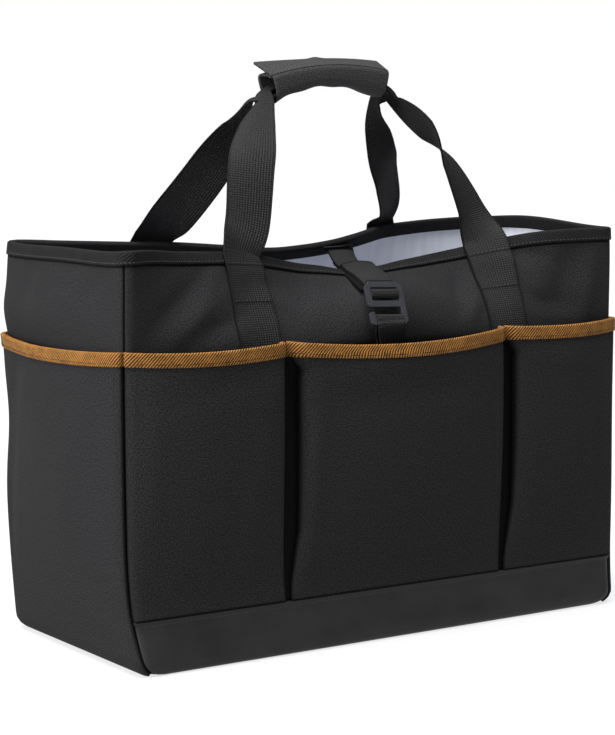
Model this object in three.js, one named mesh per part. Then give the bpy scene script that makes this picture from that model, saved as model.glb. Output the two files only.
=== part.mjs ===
// Utility tote bag: a wide open-topped cloth bag with pleated pockets, webbing handles and a strap over its mouth.
// Millimetres, +Z up. The origin is on the floor under the middle of the body, the front faces -Y.
import * as THREE from "three";
import { mergeVertices } from "three/addons/utils/BufferGeometryUtils.js";

// Body
const WIDTH = 510; // between the two ends at the rim
const DEPTH = 210; // between front and back at the rim
const RIM = 347; // floor to rim, measured up the wall
const BARREL = 4; // how far every wall stands out half way up
const LONG_FLARE = 8; // how far the front and back stand out at the floor
const END_TAPER = 5; // how far the ends stand in at the floor
const FLARE_TOP = 110; // level where flare and taper end
const EDGE_RADIUS = 16; // rounding from the walls into the floor
const CORNER_RADIUS = 10; // upright corners seen from above
const BASE_TOP = 45; // seam between the coated base and the panels
const END_DIP = 4; // how far the rim sags between its corners at each end
const END_SWELL = 4; // how far the gussets belly out
const BACK_SWELL = 6; // how far the back bellies out
const FLOOR_EDGE = EDGE_RADIUS * (1 - Math.PI / 2); // where the walls meet the floor, measured down the wall

// The strap pulls the middle of the rim in: each long wall bends over this length and is straight above it
const BEND_HALF = 24;
const BEND_LEVEL = 265; // middle of the bend, away from the strap
const BEND_LOWEST = BEND_LEVEL - BEND_HALF;

// Layers
const CLOTH = 2;
const LINING = 1;
const POCKET_CLOTH = 1.8;
const TAPE = 0.9;
const TAPE_WIDTH = 12;
const WEBBING = 1.6;
const STRAP_CLOTH = 2.4;
const WRAP_CLOTH = 2.2;
const GAP = 0.4; // between two layers that lie together
const RIM_EASE = 0.9; // slack of the rim tape inside the lining
const TAPE_GAP = 0.5; // between a tape and the edge that it covers
const SEAM = 0.5; // between two panels at an upright seam

// Pockets
const POCKET_TOP = 265; // upper edge of the pocket cloth at its seams
const PLEAT_TOP = 12; // how far below the tape a pleat is fully open
const PLEAT_CLOSING = 105; // level below which a pleat closes towards the base
const PLEAT_CLOSED = 0.2; // share of a pleat left open at the base
const POCKET_LIFT = 1.8; // room for the folded tape between pocket and panel at the top
const POCKET_FOOT = 2; // lower end of the side pockets, measured up the wall

// Handles, strap and buckle
const HANDLE_WIDTH = 40;
const GRIP_WIDTH = 22; // webbing gathered inside the wrap
const GRIP_CUP = THREE.MathUtils.degToRad(60);
const LEG_X = 130.5; // middle of each sewn handle leg
const LEG_OUT = 3.3; // middle layer of a sewn leg, out from the wall and clear of the rim tape
const FRONT_LEG_END = 268; // lower end of the sewn legs, measured up the wall
const BACK_LEG_END = 239;
const STRAP_WIDTH = 38;
const STRAP_BACK_X = 58; // where the strap is sewn inside the back rim
const STRAP_FRONT_X = 0; // where it crosses the front rim
const STRAP_SAG = 3; // between the two rims
// Rows of the strap at each rim: up from the rim along the wall, and out from where it lies on the rim tape
const STRAP_BACK_ROWS = [{ up: -2, out: 0 }, { up: -8, out: -0.6 }, { up: -14, out: -5.4 }];
const STRAP_FRONT_ROWS = [
  { up: 24, out: -3 }, { up: 4, out: 1.4 }, { up: -12, out: 2.2 }, { up: -23, out: 4 }, { up: -31, out: 7 },
];
// Rows of the lower webbing behind and before the buckle's hook: level up the wall, and out from it
const WEBBING_BEHIND = [{ s: 247, out: 2.2 }, { s: 255, out: 3 }, { s: 263, out: 4.6 }];
const WEBBING_BEFORE = [{ s: 263, out: 9.6 }, { s: 255, out: 7.2 }, { s: 247, out: 5.4 }];
const LOOP_WIDTH = 25;
const BUCKLE_LEVEL = 293; // middle of the buckle, measured up the front wall
const BUCKLE_OUT = 8.6; // middle of the buckle's plate, out from the wall

const UP = new THREE.Vector3(0, 0, 1);

// How far the strap leans each long wall, in degrees from upright, and where it bends, at places along it
const FRONT_LEAN = [
  { x: -245, lean: 0, bend: BEND_LEVEL }, { x: -198, lean: 13.2, bend: BEND_LEVEL },
  { x: -146, lean: 21.8, bend: BEND_LEVEL }, { x: -105, lean: 27.8, bend: 266 },
  { x: -66, lean: 39.5, bend: 273 }, { x: -37, lean: 51.5, bend: 284 },
  { x: -10, lean: 63, bend: 295 }, { x: 8, lean: 64.8, bend: 298 },
  { x: 22, lean: 61.8, bend: 296 }, { x: 45, lean: 52.5, bend: 288 },
  { x: 68, lean: 44, bend: 278 }, { x: 115, lean: 33, bend: 267 },
  { x: 150, lean: 24, bend: BEND_LEVEL }, { x: 208, lean: 13, bend: BEND_LEVEL },
  { x: 245, lean: 0, bend: BEND_LEVEL },
];
const BACK_LEAN = [
  { x: -245, lean: 0, bend: BEND_LEVEL }, { x: -212, lean: 12, bend: BEND_LEVEL },
  { x: -160, lean: 21, bend: BEND_LEVEL }, { x: -115, lean: 25, bend: BEND_LEVEL },
  { x: -63, lean: 32, bend: BEND_LEVEL }, { x: -21, lean: 37, bend: BEND_LEVEL },
  { x: 17, lean: 35.5, bend: BEND_LEVEL }, { x: 55, lean: 31, bend: BEND_LEVEL },
  { x: 83, lean: 25, bend: BEND_LEVEL }, { x: 101, lean: 20, bend: BEND_LEVEL },
  { x: 130, lean: 11, bend: BEND_LEVEL }, { x: 160, lean: 6, bend: BEND_LEVEL },
  { x: 200, lean: 1, bend: BEND_LEVEL }, { x: 245, lean: 0, bend: BEND_LEVEL },
];
const FRONT_PULL = { rows: FRONT_LEAN, drift: 7 }; // the strap also draws the rim this far towards +X
const BACK_PULL = { rows: BACK_LEAN, drift: 4 };

// The four walls, each turned from the front's place
const SIDES = {
  front: { long: true, turn: 0, pull: FRONT_PULL, swell: 0, dip: 0 },
  right: { long: false, turn: Math.PI / 2, pull: null, swell: END_SWELL, dip: END_DIP },
  back: { long: true, turn: Math.PI, pull: BACK_PULL, swell: BACK_SWELL, dip: 0 },
  left: { long: false, turn: -Math.PI / 2, pull: null, swell: END_SWELL, dip: END_DIP },
};

// Pockets: span along their wall from -1 to 1, how far they stand off, how sharply each end turns in, and how far the
// pleat at their start draws that end in
const FRONT_SPAN = 1 - (2 * SEAM) / (WIDTH / 2);
const END_SPAN = 1 - SEAM / (DEPTH / 2);
const LEFT_PLEAT = { from: -108 / (WIDTH / 2), to: -104.5 / (WIDTH / 2) };
const RIGHT_PLEAT = { from: 121 / (WIDTH / 2), to: 124.5 / (WIDTH / 2) };
const POCKETS = [
  { name: "front_left", side: "front", from: -FRONT_SPAN, to: LEFT_PLEAT.from, foot: BASE_TOP + SEAM,
    gape: 9, swell: 6, sag: 3, start: 2, end: 30, pleat: 0 },
  { name: "front_centre", side: "front", from: LEFT_PLEAT.to, to: RIGHT_PLEAT.from, foot: BASE_TOP + SEAM,
    gape: 11, swell: 10, sag: 7, start: 30, end: 30, pleat: 11 },
  { name: "front_right", side: "front", from: RIGHT_PLEAT.to, to: FRONT_SPAN, foot: BASE_TOP + SEAM,
    gape: 9, swell: 6, sag: 2, start: 30, end: 2, pleat: 8 },
  { name: "side_left", side: "left", from: -END_SPAN, to: END_SPAN, foot: POCKET_FOOT,
    gape: 5, swell: 3, sag: 4, start: 2, end: 2, pleat: 0 },
  { name: "side_right", side: "right", from: -END_SPAN, to: END_SPAN, foot: POCKET_FOOT,
    gape: 5, swell: 3, sag: 4, start: 2, end: 2, pleat: 0 },
];

// Handle wrap: a rolled cloth whose middle line is an arc in the plane of the handles
const WRAP = { x: 8, y: -3, z: 492, length: 120, arcRadius: 185, halfDepth: 16.5, halfHeight: 12.5, squareness: 3 };
const WRAP_TURN = { start: 110, end: 510, tuck: 70, lift: 40, liftHeight: 3 }; // degrees round the roll

// Free part of each handle leg from the rim to the wrap: middle line, heading of its width, and how far gathered
const FRONT_LEFT_LEG = [
  { x: -104, y: -58, z: 370, turn: -8, grip: 0 },
  { x: -90, y: -38, z: 410, turn: -14, grip: 0.1 },
  { x: -75, y: -20, z: 445, turn: -42, grip: 0.45 },
  { x: -66, y: -9, z: 465, turn: -75, grip: 0.8 },
];
const FRONT_RIGHT_LEG = [
  { x: 94, y: -13, z: 453, turn: -76, grip: 0.5 },
  { x: 112, y: -24, z: 428, turn: -92, grip: 0.1 },
  { x: 123, y: -35, z: 412, turn: -138, grip: 0 },
  { x: 131, y: -50, z: 378, turn: -164, grip: 0 },
];
const BACK_LEFT_LEG = [
  { x: -117, y: 57, z: 362, turn: -188, grip: 0 },
  { x: -94, y: 37, z: 403, turn: -172, grip: 0.05 },
  { x: -71, y: 19, z: 441, turn: -150, grip: 0.4 },
  { x: -59, y: 5, z: 460, turn: -105, grip: 0.8 },
];
const BACK_RIGHT_LEG = [
  { x: 79, y: 17, z: 448, turn: -70, grip: 0.6 },
  { x: 91, y: 31, z: 421, turn: -5, grip: 0.3 },
  { x: 111, y: 54, z: 385, turn: 24, grip: 0 },
];
const GRIP_STATIONS = [-1.1, 0, 1.1]; // stations inside the wrap, in half lengths from its middle
const FRONT_GRIP_RISE = 3; // the front handle's webbing lies on the back handle's inside the wrap
const BACK_GRIP_RISE = -2.2;

// Rows and columns that all layers of the body share, so that they stay parallel
const EDGE_ROWS = [0, 1 / 3, 2 / 3, 1].map((share) => THREE.MathUtils.lerp(FLOOR_EDGE, EDGE_RADIUS, share));
const WALL_ROWS = [150, BEND_LOWEST, 258, 274, 290, 306, 322, RIM - TAPE_WIDTH, RIM];
const FRONT_POCKET_ROWS = [PLEAT_CLOSING, 175, POCKET_TOP - TAPE_WIDTH - PLEAT_TOP, POCKET_TOP - TAPE_WIDTH];
const SIDE_POCKET_ROWS = [...EDGE_ROWS.slice(2), BASE_TOP, 110, 185];
const LONG_CELLS = 16; // between the rounded corners of the front and the back
const END_CELLS = 4; // between the rounded corners of each end
const FRONT_POCKET_CELLS = 12; // across each front pocket
const POCKET_CROWDING = 2.6; // how much closer these stations lie at the ends of the pocket

const clamp = THREE.MathUtils.clamp;
const lerp = THREE.MathUtils.lerp;
const radians = THREE.MathUtils.degToRad;

// Evenly spaced values from a to b, both included
function spread(a, b, cells) {
  return Array.from({ length: cells + 1 }, (_, i) => lerp(a, b, i / cells));
}

// Keeps only the positions of a geometry and joins its shared corners
function joined(geometry) {
  geometry.deleteAttribute("normal");
  geometry.deleteAttribute("uv");
  const closed = mergeVertices(geometry, 1e-4);
  closed.computeVertexNormals();
  return closed;
}

// A closed sheet: a box of cells whose corners are carried to place(column, row, w), w being 0 inside and 1 outside
function sheet(columns, rows, place) {
  const box = new THREE.BoxGeometry(1, 1, 1, columns.length - 1, rows.length - 1, 1);
  const corners = box.getAttribute("position");
  for (let i = 0; i < corners.count; i++) {
    const column = columns[Math.round((corners.getX(i) + 0.5) * (columns.length - 1))];
    const row = rows[Math.round((corners.getY(i) + 0.5) * (rows.length - 1))];
    const p = place(column, row, corners.getZ(i) + 0.5);
    corners.setXYZ(i, p.x, p.y, p.z);
  }
  return joined(box);
}

// Moves the corners of a geometry by its two uv counts to place(ring, section)
function carried(geometry, ringCells, sectionCells, place) {
  const corners = geometry.getAttribute("position");
  const uv = geometry.getAttribute("uv");
  for (let i = 0; i < corners.count; i++) {
    const p = place(Math.round(uv.getX(i) * ringCells), Math.round(uv.getY(i) * sectionCells));
    corners.setXYZ(i, p.x, p.y, p.z);
  }
  return joined(geometry);
}

// The point (a, b) of a surface moved out along the surface's own normal
function raised(surface, a, b, out) {
  const stepA = 1e-3;
  const stepB = 0.05;
  const alongA = surface(a + stepA, b).sub(surface(a - stepA, b));
  const alongB = surface(a, b + stepB).sub(surface(a, b - stepB));
  return surface(a, b).addScaledVector(alongA.cross(alongB).normalize(), out);
}

// Smooth value of a column of a table at x, through all its rows
function fromTable(rows, column, x) {
  const at = clamp(x, rows[0].x, rows[rows.length - 1].x);
  const i = clamp(rows.findIndex((row) => at <= row.x) - 1, 0, rows.length - 2);
  const slope = (k) => {
    const before = rows[Math.max(0, k - 1)];
    const after = rows[Math.min(rows.length - 1, k + 1)];
    return (after[column] - before[column]) / (after.x - before.x);
  };
  const span = rows[i + 1].x - rows[i].x;
  const a = (at - rows[i].x) / span;
  const b = 1 - a;
  const bend = a * b * span * (b * slope(i) - a * slope(i + 1));
  return rows[i][column] * (1 + 2 * a) * b * b + rows[i + 1][column] * (1 + 2 * b) * a * a + bend;
}

// Profile of a wall that leans by an angle above a bend: how far in and how high the point at s up the wall lies
function bentProfile(s, bend, angle) {
  const start = bend - BEND_HALF;
  if (s <= start || angle < 1e-6) {
    return { inward: 0, rise: s };
  }
  const radius = (2 * BEND_HALF) / angle;
  const turned = angle * Math.min(1, (s - start) / (2 * BEND_HALF));
  const straight = Math.max(0, s - bend - BEND_HALF);
  return {
    inward: radius * (1 - Math.cos(turned)) + straight * Math.sin(angle),
    rise: start + radius * Math.sin(turned) + straight * Math.cos(angle),
  };
}

// Half width, half depth and height of the body at s up the wall, with the rounding into the floor
function girth(s) {
  const barrel = BARREL * Math.sin(Math.PI * clamp(s / RIM, 0, 1));
  const low = Math.max(0, 1 - s / FLARE_TOP) ** 2;
  const turned = Math.max(0, EDGE_RADIUS - s) / EDGE_RADIUS;
  const inset = EDGE_RADIUS * (1 - Math.cos(turned));
  return {
    halfWidth: WIDTH / 2 + barrel - END_TAPER * low - inset,
    halfDepth: DEPTH / 2 + barrel + LONG_FLARE * low - inset,
    level: turned > 0 ? EDGE_RADIUS * (1 - Math.sin(turned)) : s,
  };
}

// Half the run of a wall from its middle to the middle of a corner, at s up the wall
function halfRun(side, s) {
  const { halfWidth, halfDepth } = girth(s);
  return (SIDES[side].long ? halfWidth : halfDepth) - CORNER_RADIUS + (CORNER_RADIUS * Math.PI) / 4;
}

// Stations across a wall, with one where each rounded corner starts
function wallColumns(side) {
  const cornerStart = 1 - (CORNER_RADIUS * Math.PI) / 4 / halfRun(side, RIM);
  return [-1, ...spread(-cornerStart, cornerStart, SIDES[side].long ? LONG_CELLS : END_CELLS), 1];
}

// Outer surface of the body: side, t from -1 to 1 counterclockwise from corner to corner, s up the wall
function wall(side, t, s, pulled = true) {
  const { long, turn, pull, swell, dip } = SIDES[side];
  const { halfWidth, halfDepth, level } = girth(s);
  const straight = (long ? halfWidth : halfDepth) - CORNER_RADIUS;
  const run = t * halfRun(side, s);
  const turned = Math.max(0, Math.abs(run) - straight) / CORNER_RADIUS;
  const along = Math.sign(run) * (Math.min(Math.abs(run), straight) + CORNER_RADIUS * Math.sin(turned));
  const out = (long ? halfDepth : halfWidth) - CORNER_RADIUS * (1 - Math.cos(turned));
  const height = clamp((s - BASE_TOP) / (RIM - BASE_TOP), 0, 1);
  const middle = Math.max(0, 1 - t * t);
  const belly = swell * middle * Math.sin(Math.PI * height);
  const place = new THREE.Vector3(along, -out - belly, level);
  if (pull && pulled) {
    const [lean, bend] = ["lean", "bend"].map((column) => fromTable(pull.rows, column, along * Math.cos(turn)));
    const { inward, rise } = bentProfile(s, bend, radians(lean));
    const above = Math.max(0, s - BEND_LOWEST) / (RIM - BEND_LOWEST);
    place.x += pull.drift * Math.cos(turn) * middle * above;
    place.y += inward;
    place.z += rise - s;
  }
  place.z -= dip * middle * Math.max(0, (s - BEND_LEVEL) / (RIM - BEND_LEVEL));
  return place.applyAxisAngle(UP, turn);
}

// A point of the body's wall at t and s, moved out from its outer surface
function onWall(side, t, s, out, pulled = true) {
  return raised((a, b) => wall(side, a, b, pulled), t, s, out);
}

// The same with t given by x, for the front and the back
function onWallAtX(side, x, s, out) {
  return onWall(side, (x * Math.cos(SIDES[side].turn)) / halfRun(side, s), s, out);
}

// One cloth panel of the body
function panel(side, columns, rows) {
  return sheet(columns, rows, (t, s, w) => onWall(side, t, s, (w - 1) * CLOTH));
}

// Coated base: back strip, floor and front strip in one band
function baseBand() {
  const stripRows = [...EDGE_ROWS, BASE_TOP];
  const backStrip = [...stripRows].reverse().map((s) => ({ side: "back", s }));
  const floor = [{ forward: 0.5 }];
  const frontStrip = stripRows.map((s) => ({ side: "front", s }));
  return sheet(wallColumns("front"), [...backStrip, ...floor, ...frontStrip], (t, row, w) => {
    if (row.side) {
      return onWall(row.side, row.side === "back" ? -t : t, row.s, (w - 1) * CLOTH);
    }
    return floorPoint(t, row.forward).addScaledVector(UP, (1 - w) * CLOTH);
  });
}

// A point of the flat floor between its four edges, from the left to the right end and from back to front
function floorPoint(t, forward) {
  const edge = (side, at) => wall(side, at, FLOOR_EDGE);
  const right = (t + 1) / 2;
  const blend = (a, b, share) => a.clone().lerp(b, share);
  const backToFront = blend(edge("back", -t), edge("front", t), forward);
  const leftToRight = blend(edge("left", 2 * forward - 1), edge("right", 1 - 2 * forward), right);
  const left = blend(edge("back", 1), edge("front", -1), forward);
  const corners = blend(left, blend(edge("back", -1), edge("front", 1), forward), right);
  return backToFront.add(leftToRight).sub(corners);
}

// Stations all round the body, counterclockwise from the front left corner
function ringStations() {
  return Object.keys(SIDES).flatMap((side) => wallColumns(side).slice(0, -1).map((t) => ({ side, t })));
}

// Lining: a thin bag inside the panels, open at the rim
function liningBag() {
  const ring = ringStations();
  const outside = CLOTH + GAP;
  const outerRows = [...EDGE_ROWS, BASE_TOP, ...WALL_ROWS].map((s) => ({ s, inside: outside }));
  const innerRows = outerRows.map(({ s }) => ({ s, inside: outside + LINING })).reverse();
  const profile = [{ inside: outside }, ...outerRows, ...innerRows, { inside: outside + LINING }];
  const turned = new THREE.LatheGeometry(profile.map((_, i) => new THREE.Vector2(1, i)), ring.length);
  return carried(turned, ring.length, profile.length - 1, (i, j) => {
    const { s, inside } = profile[j];
    const { side, t } = ring[i % ring.length];
    return s === undefined ? new THREE.Vector3(0, 0, inside) : onWall(side, t, s, -inside);
  });
}

// Section of a tape folded over an edge: out from the cloth's outer face and up from its edge
function foldedTape(stack) {
  const near = TAPE_GAP;
  const far = TAPE_GAP + TAPE;
  return {
    outer: [[far, -TAPE_WIDTH], [far, far], [-stack - far, far], [-stack - far, -TAPE_WIDTH]],
    inner: [[near, -TAPE_WIDTH], [near, near], [-stack - near, near], [-stack - near, -TAPE_WIDTH]],
  };
}

// Tape round the whole rim, over the panels and the lining
function rimTape() {
  const ring = ringStations();
  const { outer, inner } = foldedTape(CLOTH + GAP + LINING + RIM_EASE);
  const section = [...outer, ...[...inner].reverse(), outer[0]];
  const turned = new THREE.LatheGeometry(section.map((_, i) => new THREE.Vector2(1, i)), ring.length);
  return carried(turned, ring.length, section.length - 1, (i, j) => {
    const { side, t } = ring[i % ring.length];
    const [out, above] = section[j];
    return onWall(side, t, RIM + above, out);
  });
}

// How far open the pleat beside a pocket is at s up the wall, from 0 to 1
function pleatOpening(pocket, s) {
  const below = clamp((POCKET_TOP - TAPE_WIDTH - s) / PLEAT_TOP, 0, 1);
  const above = clamp((s - pocket.foot) / (PLEAT_CLOSING - pocket.foot), PLEAT_CLOSED, 1);
  return below * above;
}

// Outer surface of a pocket: q from -1 to 1 across it, s up the wall
function pocketSurface(pocket, q, s) {
  const from = pocket.from + (pocket.pleat * pleatOpening(pocket, s)) / (WIDTH / 2);
  const t = lerp(from, pocket.to, (q + 1) / 2);
  const height = clamp((s - pocket.foot) / (POCKET_TOP - pocket.foot), 0, 1);
  const sharpness = q < 0 ? pocket.start : pocket.end;
  const inside = Math.min(1, Math.abs(q));
  const standing = pocket.gape * (1 - (1 - height) ** 3) * (1 - inside ** sharpness);
  const belly = pocket.swell * (1 - (1 - height) ** 2) * (1 - inside * inside);
  const lift = 2 * GAP + POCKET_CLOTH + POCKET_LIFT * height;
  return onWall(pocket.side, t, s, lift + standing + belly, false);
}

// Upper edge of a pocket at q across it
function pocketEdge(pocket, q) {
  return POCKET_TOP - pocket.sag * (1 - q * q);
}

// Stations across a pocket, closer together where an end turns in sharply
function pocketColumns(cells) {
  return spread(-1, 1, cells).map((a) => Math.sign(a) * (1 - (1 - Math.abs(a)) ** POCKET_CROWDING));
}

// Cloth of one pocket
function pocketCloth(pocket, columns, rows) {
  return sheet(columns, rows, (q, share, w) => {
    const s = lerp(pocket.foot, pocketEdge(pocket, q), share);
    return raised((a, b) => pocketSurface(pocket, a, b), q, s, (w - 1) * POCKET_CLOTH);
  });
}

// Tape folded over the upper edge of one pocket
function pocketTape(pocket, columns) {
  const { outer, inner } = foldedTape(POCKET_CLOTH);
  return sheet(columns, [0, 1, 2, 3], (q, corner, w) => {
    const [out, above] = w > 0.5 ? outer[corner] : inner[corner];
    return raised((a, b) => pocketSurface(pocket, a, b), q, pocketEdge(pocket, q) + above, out);
  });
}

// A frame on the middle line of the wrap: place, direction along it and outward normal, k from -1 to 1
function wrapFrame(k) {
  const turned = (k * WRAP.length) / (2 * WRAP.arcRadius);
  const along = new THREE.Vector3(Math.cos(turned), 0, -Math.sin(turned));
  const normal = new THREE.Vector3(Math.sin(turned), 0, Math.cos(turned));
  const middle = new THREE.Vector3(WRAP.x, WRAP.y, WRAP.z - WRAP.arcRadius).addScaledVector(normal, WRAP.arcRadius);
  return { along, normal, middle };
}

// Rolled wrap: it starts under its own flap behind, runs under and up the front, and ends in the flap on top
function handleWrap() {
  const rooted = (value) => Math.sign(value) * Math.abs(value) ** (2 / WRAP.squareness);
  return sheet(spread(-1, 1, 6), spread(WRAP_TURN.start, WRAP_TURN.end, 24), (k, degrees, w) => {
    const { normal, middle } = wrapFrame(k);
    const tucked = clamp(1 - (degrees - WRAP_TURN.start) / WRAP_TURN.tuck, 0, 1);
    const lifted = clamp(1 - (WRAP_TURN.end - degrees) / WRAP_TURN.lift, 0, 1) ** 2;
    const grow = (w - 1) * WRAP_CLOTH - tucked * (WRAP_CLOTH + GAP) + lifted * WRAP_TURN.liftHeight;
    const back = -(WRAP.halfDepth + grow) * rooted(Math.cos(radians(degrees)));
    const rise = (WRAP.halfHeight + grow) * rooted(Math.sin(radians(degrees)));
    return middle.addScaledVector(normal, rise).add(new THREE.Vector3(0, back, 0));
  });
}

// Direction in plan, in degrees from +X
function heading(turn) {
  return new THREE.Vector3(Math.cos(radians(turn)), Math.sin(radians(turn)), 0);
}

// Direction along a long wall towards +X, at x and s
function alongWall(side, x, s) {
  const reach = 5;
  return onWallAtX(side, x + reach, s, 0).sub(onWallAtX(side, x - reach, s, 0)).normalize();
}

// Stations of a strip of webbing along a smooth line through rows of place, width direction and gathering
function stripStations(rows, perRow, width, gatheredWidth) {
  const line = new THREE.CatmullRomCurve3(rows.map((row) => row.place), false, "centripetal");
  const widths = new THREE.CatmullRomCurve3(rows.map((row) => row.across));
  const grips = new THREE.CatmullRomCurve3(rows.map((row) => new THREE.Vector3(row.grip, 0, 0)));
  return spread(0, 1, (rows.length - 1) * perRow).map((share) => {
    const grip = clamp(grips.getPoint(share).x, 0, 1);
    const along = line.getTangent(share);
    const across = widths.getPoint(share);
    across.addScaledVector(along, -across.dot(along)).normalize();
    const out = across.clone().cross(along);
    const middle = line.getPoint(share);
    return { middle, across, out, width: lerp(width, gatheredWidth, grip), cup: GRIP_CUP * grip };
  });
}

// A point of a strip's section, u from -0.5 to 0.5 across it and h out from its middle layer
function stripPoint({ middle, across, out, width, cup }, u, h) {
  const place = middle.clone();
  if (cup < 0.02) {
    return place.addScaledVector(across, u * width).addScaledVector(out, h);
  }
  const radius = width / cup;
  const turned = u * cup;
  const sink = radius * Math.cos(turned) - radius * Math.cos(cup / 4);
  place.addScaledVector(across, (radius + h) * Math.sin(turned));
  return place.addScaledVector(out, sink + h * Math.cos(turned));
}

// Stations of a handle leg sewn to a wall, from the lower end up to the rim
function sewnStations(side, x, end, hand) {
  return spread(end, RIM - 2, 4).map((s) => ({
    sewn: (u, h) => onWallAtX(side, x + u * HANDLE_WIDTH * hand, s, LEG_OUT + h),
  }));
}

// Row of a strip where a leg leaves the rim of a wall, its width towards +X or -X by hand
function rimRow(side, x, hand) {
  const across = alongWall(side, x, RIM).multiplyScalar(hand);
  return { place: onWallAtX(side, x, RIM + 8, LEG_OUT), across, grip: 0 };
}

// One carry handle: a leg sewn to the wall, the free stretch through the wrap, and the other leg
function carryHandle(side, legEnd, leftLeg, rightLeg, gripRise) {
  const leftHand = side === "front" ? 1 : -1;
  const placed = ({ x, y, z, turn, grip }) => ({ place: new THREE.Vector3(x, y, z), across: heading(turn), grip });
  const gripRows = GRIP_STATIONS.map((k) => {
    const { middle, normal } = wrapFrame(k);
    return { place: middle.addScaledVector(normal, gripRise), across: heading(-90), grip: 1 };
  });
  const free = [
    rimRow(side, -LEG_X, leftHand), ...leftLeg.map(placed), ...gripRows,
    ...rightLeg.map(placed), rimRow(side, LEG_X, -leftHand),
  ];
  const stations = [
    ...sewnStations(side, -LEG_X, legEnd, leftHand),
    ...stripStations(free, 2, HANDLE_WIDTH, GRIP_WIDTH),
    ...sewnStations(side, LEG_X, legEnd, -leftHand).reverse(),
  ];
  return sheet(spread(-0.5, 0.5, 4), stations, (u, station, w) => {
    const h = (w - 0.5) * WEBBING;
    return station.sewn ? station.sewn(u, h) : stripPoint(station, u, h);
  });
}

// A flat strip along rows of place and width direction
function flatStrip(rows, perRow, width, thickness) {
  const stations = stripStations(rows.map((row) => ({ ...row, grip: 0 })), perRow, width, width);
  return sheet([-0.5, 0, 0.5], stations, (u, station, w) => stripPoint(station, u, (w - 0.5) * thickness));
}

// Closing strap: sewn inside the back rim, over the mouth, over the front rim and down to the buckle
function closureStrap() {
  const half = STRAP_CLOTH / 2;
  const insideTape = -(CLOTH + GAP + LINING + RIM_EASE + TAPE_GAP + TAPE + 5 * GAP + half);
  const overTape = TAPE_GAP + TAPE + 2 * GAP + half;
  const row = (side, x, layer) => ({ up, out }) => ({
    place: onWallAtX(side, x, RIM + up, layer + out),
    across: alongWall(side, x, RIM).negate(),
  });
  const back = STRAP_BACK_ROWS.map(row("back", STRAP_BACK_X, insideTape));
  const front = STRAP_FRONT_ROWS.map(row("front", STRAP_FRONT_X, overTape));
  const leaving = back[back.length - 1];
  const arriving = front[0];
  const sagging = {
    place: leaving.place.clone().lerp(arriving.place, 0.5).addScaledVector(UP, -STRAP_SAG),
    across: leaving.across.clone().add(arriving.across).normalize(),
  };
  return flatStrip([...back, sagging, ...front], 2, STRAP_WIDTH, STRAP_CLOTH);
}

// Buckle, in its own plane: levels from its middle, the frame at the top and the open hook below
const BUCKLE = { width: 36, thickness: 3.4, rail: 5, bevel: 0.5, corner: 4 };
const LEVEL = { top: 18.6, windowTop: 15.6, loopBarTop: 10, loopBarBottom: 7.4, windowBottom: 1.6, gapTop: -3 };
const HOOK = { gapBottom: -12.6, bottom: -18.6, tipRise: 5, tipWidth: 4.6 };
const LOOP_END = LEVEL.top + 4;

// A closed outline through corners [x, y]
function outline(Kind, corners) {
  const path = new Kind();
  corners.forEach(([x, y], i) => (i ? path.lineTo(x, y) : path.moveTo(x, y)));
  path.closePath();
  return path;
}

// Moulded buckle: frame with a window and a bar for the loop, and a hook that is open on the left
function buckleGeometry() {
  const half = BUCKLE.width / 2;
  const inner = half - BUCKLE.rail;
  const chamfer = BUCKLE.corner;
  const shape = outline(THREE.Shape, [
    [-half + chamfer, LEVEL.top], [-half, LEVEL.top - chamfer], [-half, LEVEL.gapTop + chamfer / 2],
    [-half + chamfer / 2, LEVEL.gapTop], [inner, LEVEL.gapTop], [inner, HOOK.gapBottom],
    [-half + HOOK.tipWidth, HOOK.gapBottom], [-half + HOOK.tipWidth, HOOK.gapBottom + HOOK.tipRise],
    [-half, HOOK.gapBottom + HOOK.tipRise - 1], [-half, HOOK.bottom + chamfer / 2],
    [-half + chamfer / 2, HOOK.bottom], [half - chamfer, HOOK.bottom], [half, HOOK.bottom + chamfer],
    [half, LEVEL.top - chamfer], [half - chamfer, LEVEL.top],
  ]);
  const window = (top, bottom) => outline(THREE.Path, [
    [-inner, top], [inner, top], [inner, bottom], [-inner, bottom],
  ]);
  shape.holes.push(window(LEVEL.windowTop, LEVEL.loopBarTop), window(LEVEL.loopBarBottom, LEVEL.windowBottom));
  const plate = new THREE.ExtrudeGeometry(shape, {
    depth: BUCKLE.thickness - 2 * BUCKLE.bevel,
    bevelEnabled: true,
    bevelThickness: BUCKLE.bevel,
    bevelSize: BUCKLE.bevel,
    bevelOffset: -BUCKLE.bevel,
    bevelSegments: 1,
  });
  plate.translate(0, 0, BUCKLE.bevel - BUCKLE.thickness / 2);
  return joined(plate);
}

// Place and turn of the buckle, lying along the chord of the bent front wall: x across, y up the wall, z out of it
function buckleFrame() {
  const at = (x, s) => onWallAtX("front", x, s, BUCKLE_OUT);
  const across = alongWall("front", STRAP_FRONT_X, BUCKLE_LEVEL);
  const upwards = at(STRAP_FRONT_X, BUCKLE_LEVEL + LEVEL.top).sub(at(STRAP_FRONT_X, BUCKLE_LEVEL + HOOK.bottom));
  const out = across.clone().cross(upwards).normalize();
  const basis = new THREE.Matrix4().makeBasis(across, out.clone().cross(across), out);
  return basis.setPosition(at(STRAP_FRONT_X, BUCKLE_LEVEL));
}

// Rows of a strip through places [y, z] of the buckle's frame, its width along the buckle's
function onBuckle(places) {
  const frame = buckleFrame();
  const across = new THREE.Vector3().setFromMatrixColumn(frame, 0).negate();
  return places.map(([y, z]) => ({ place: new THREE.Vector3(0, y, z).applyMatrix4(frame), across }));
}

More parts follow.
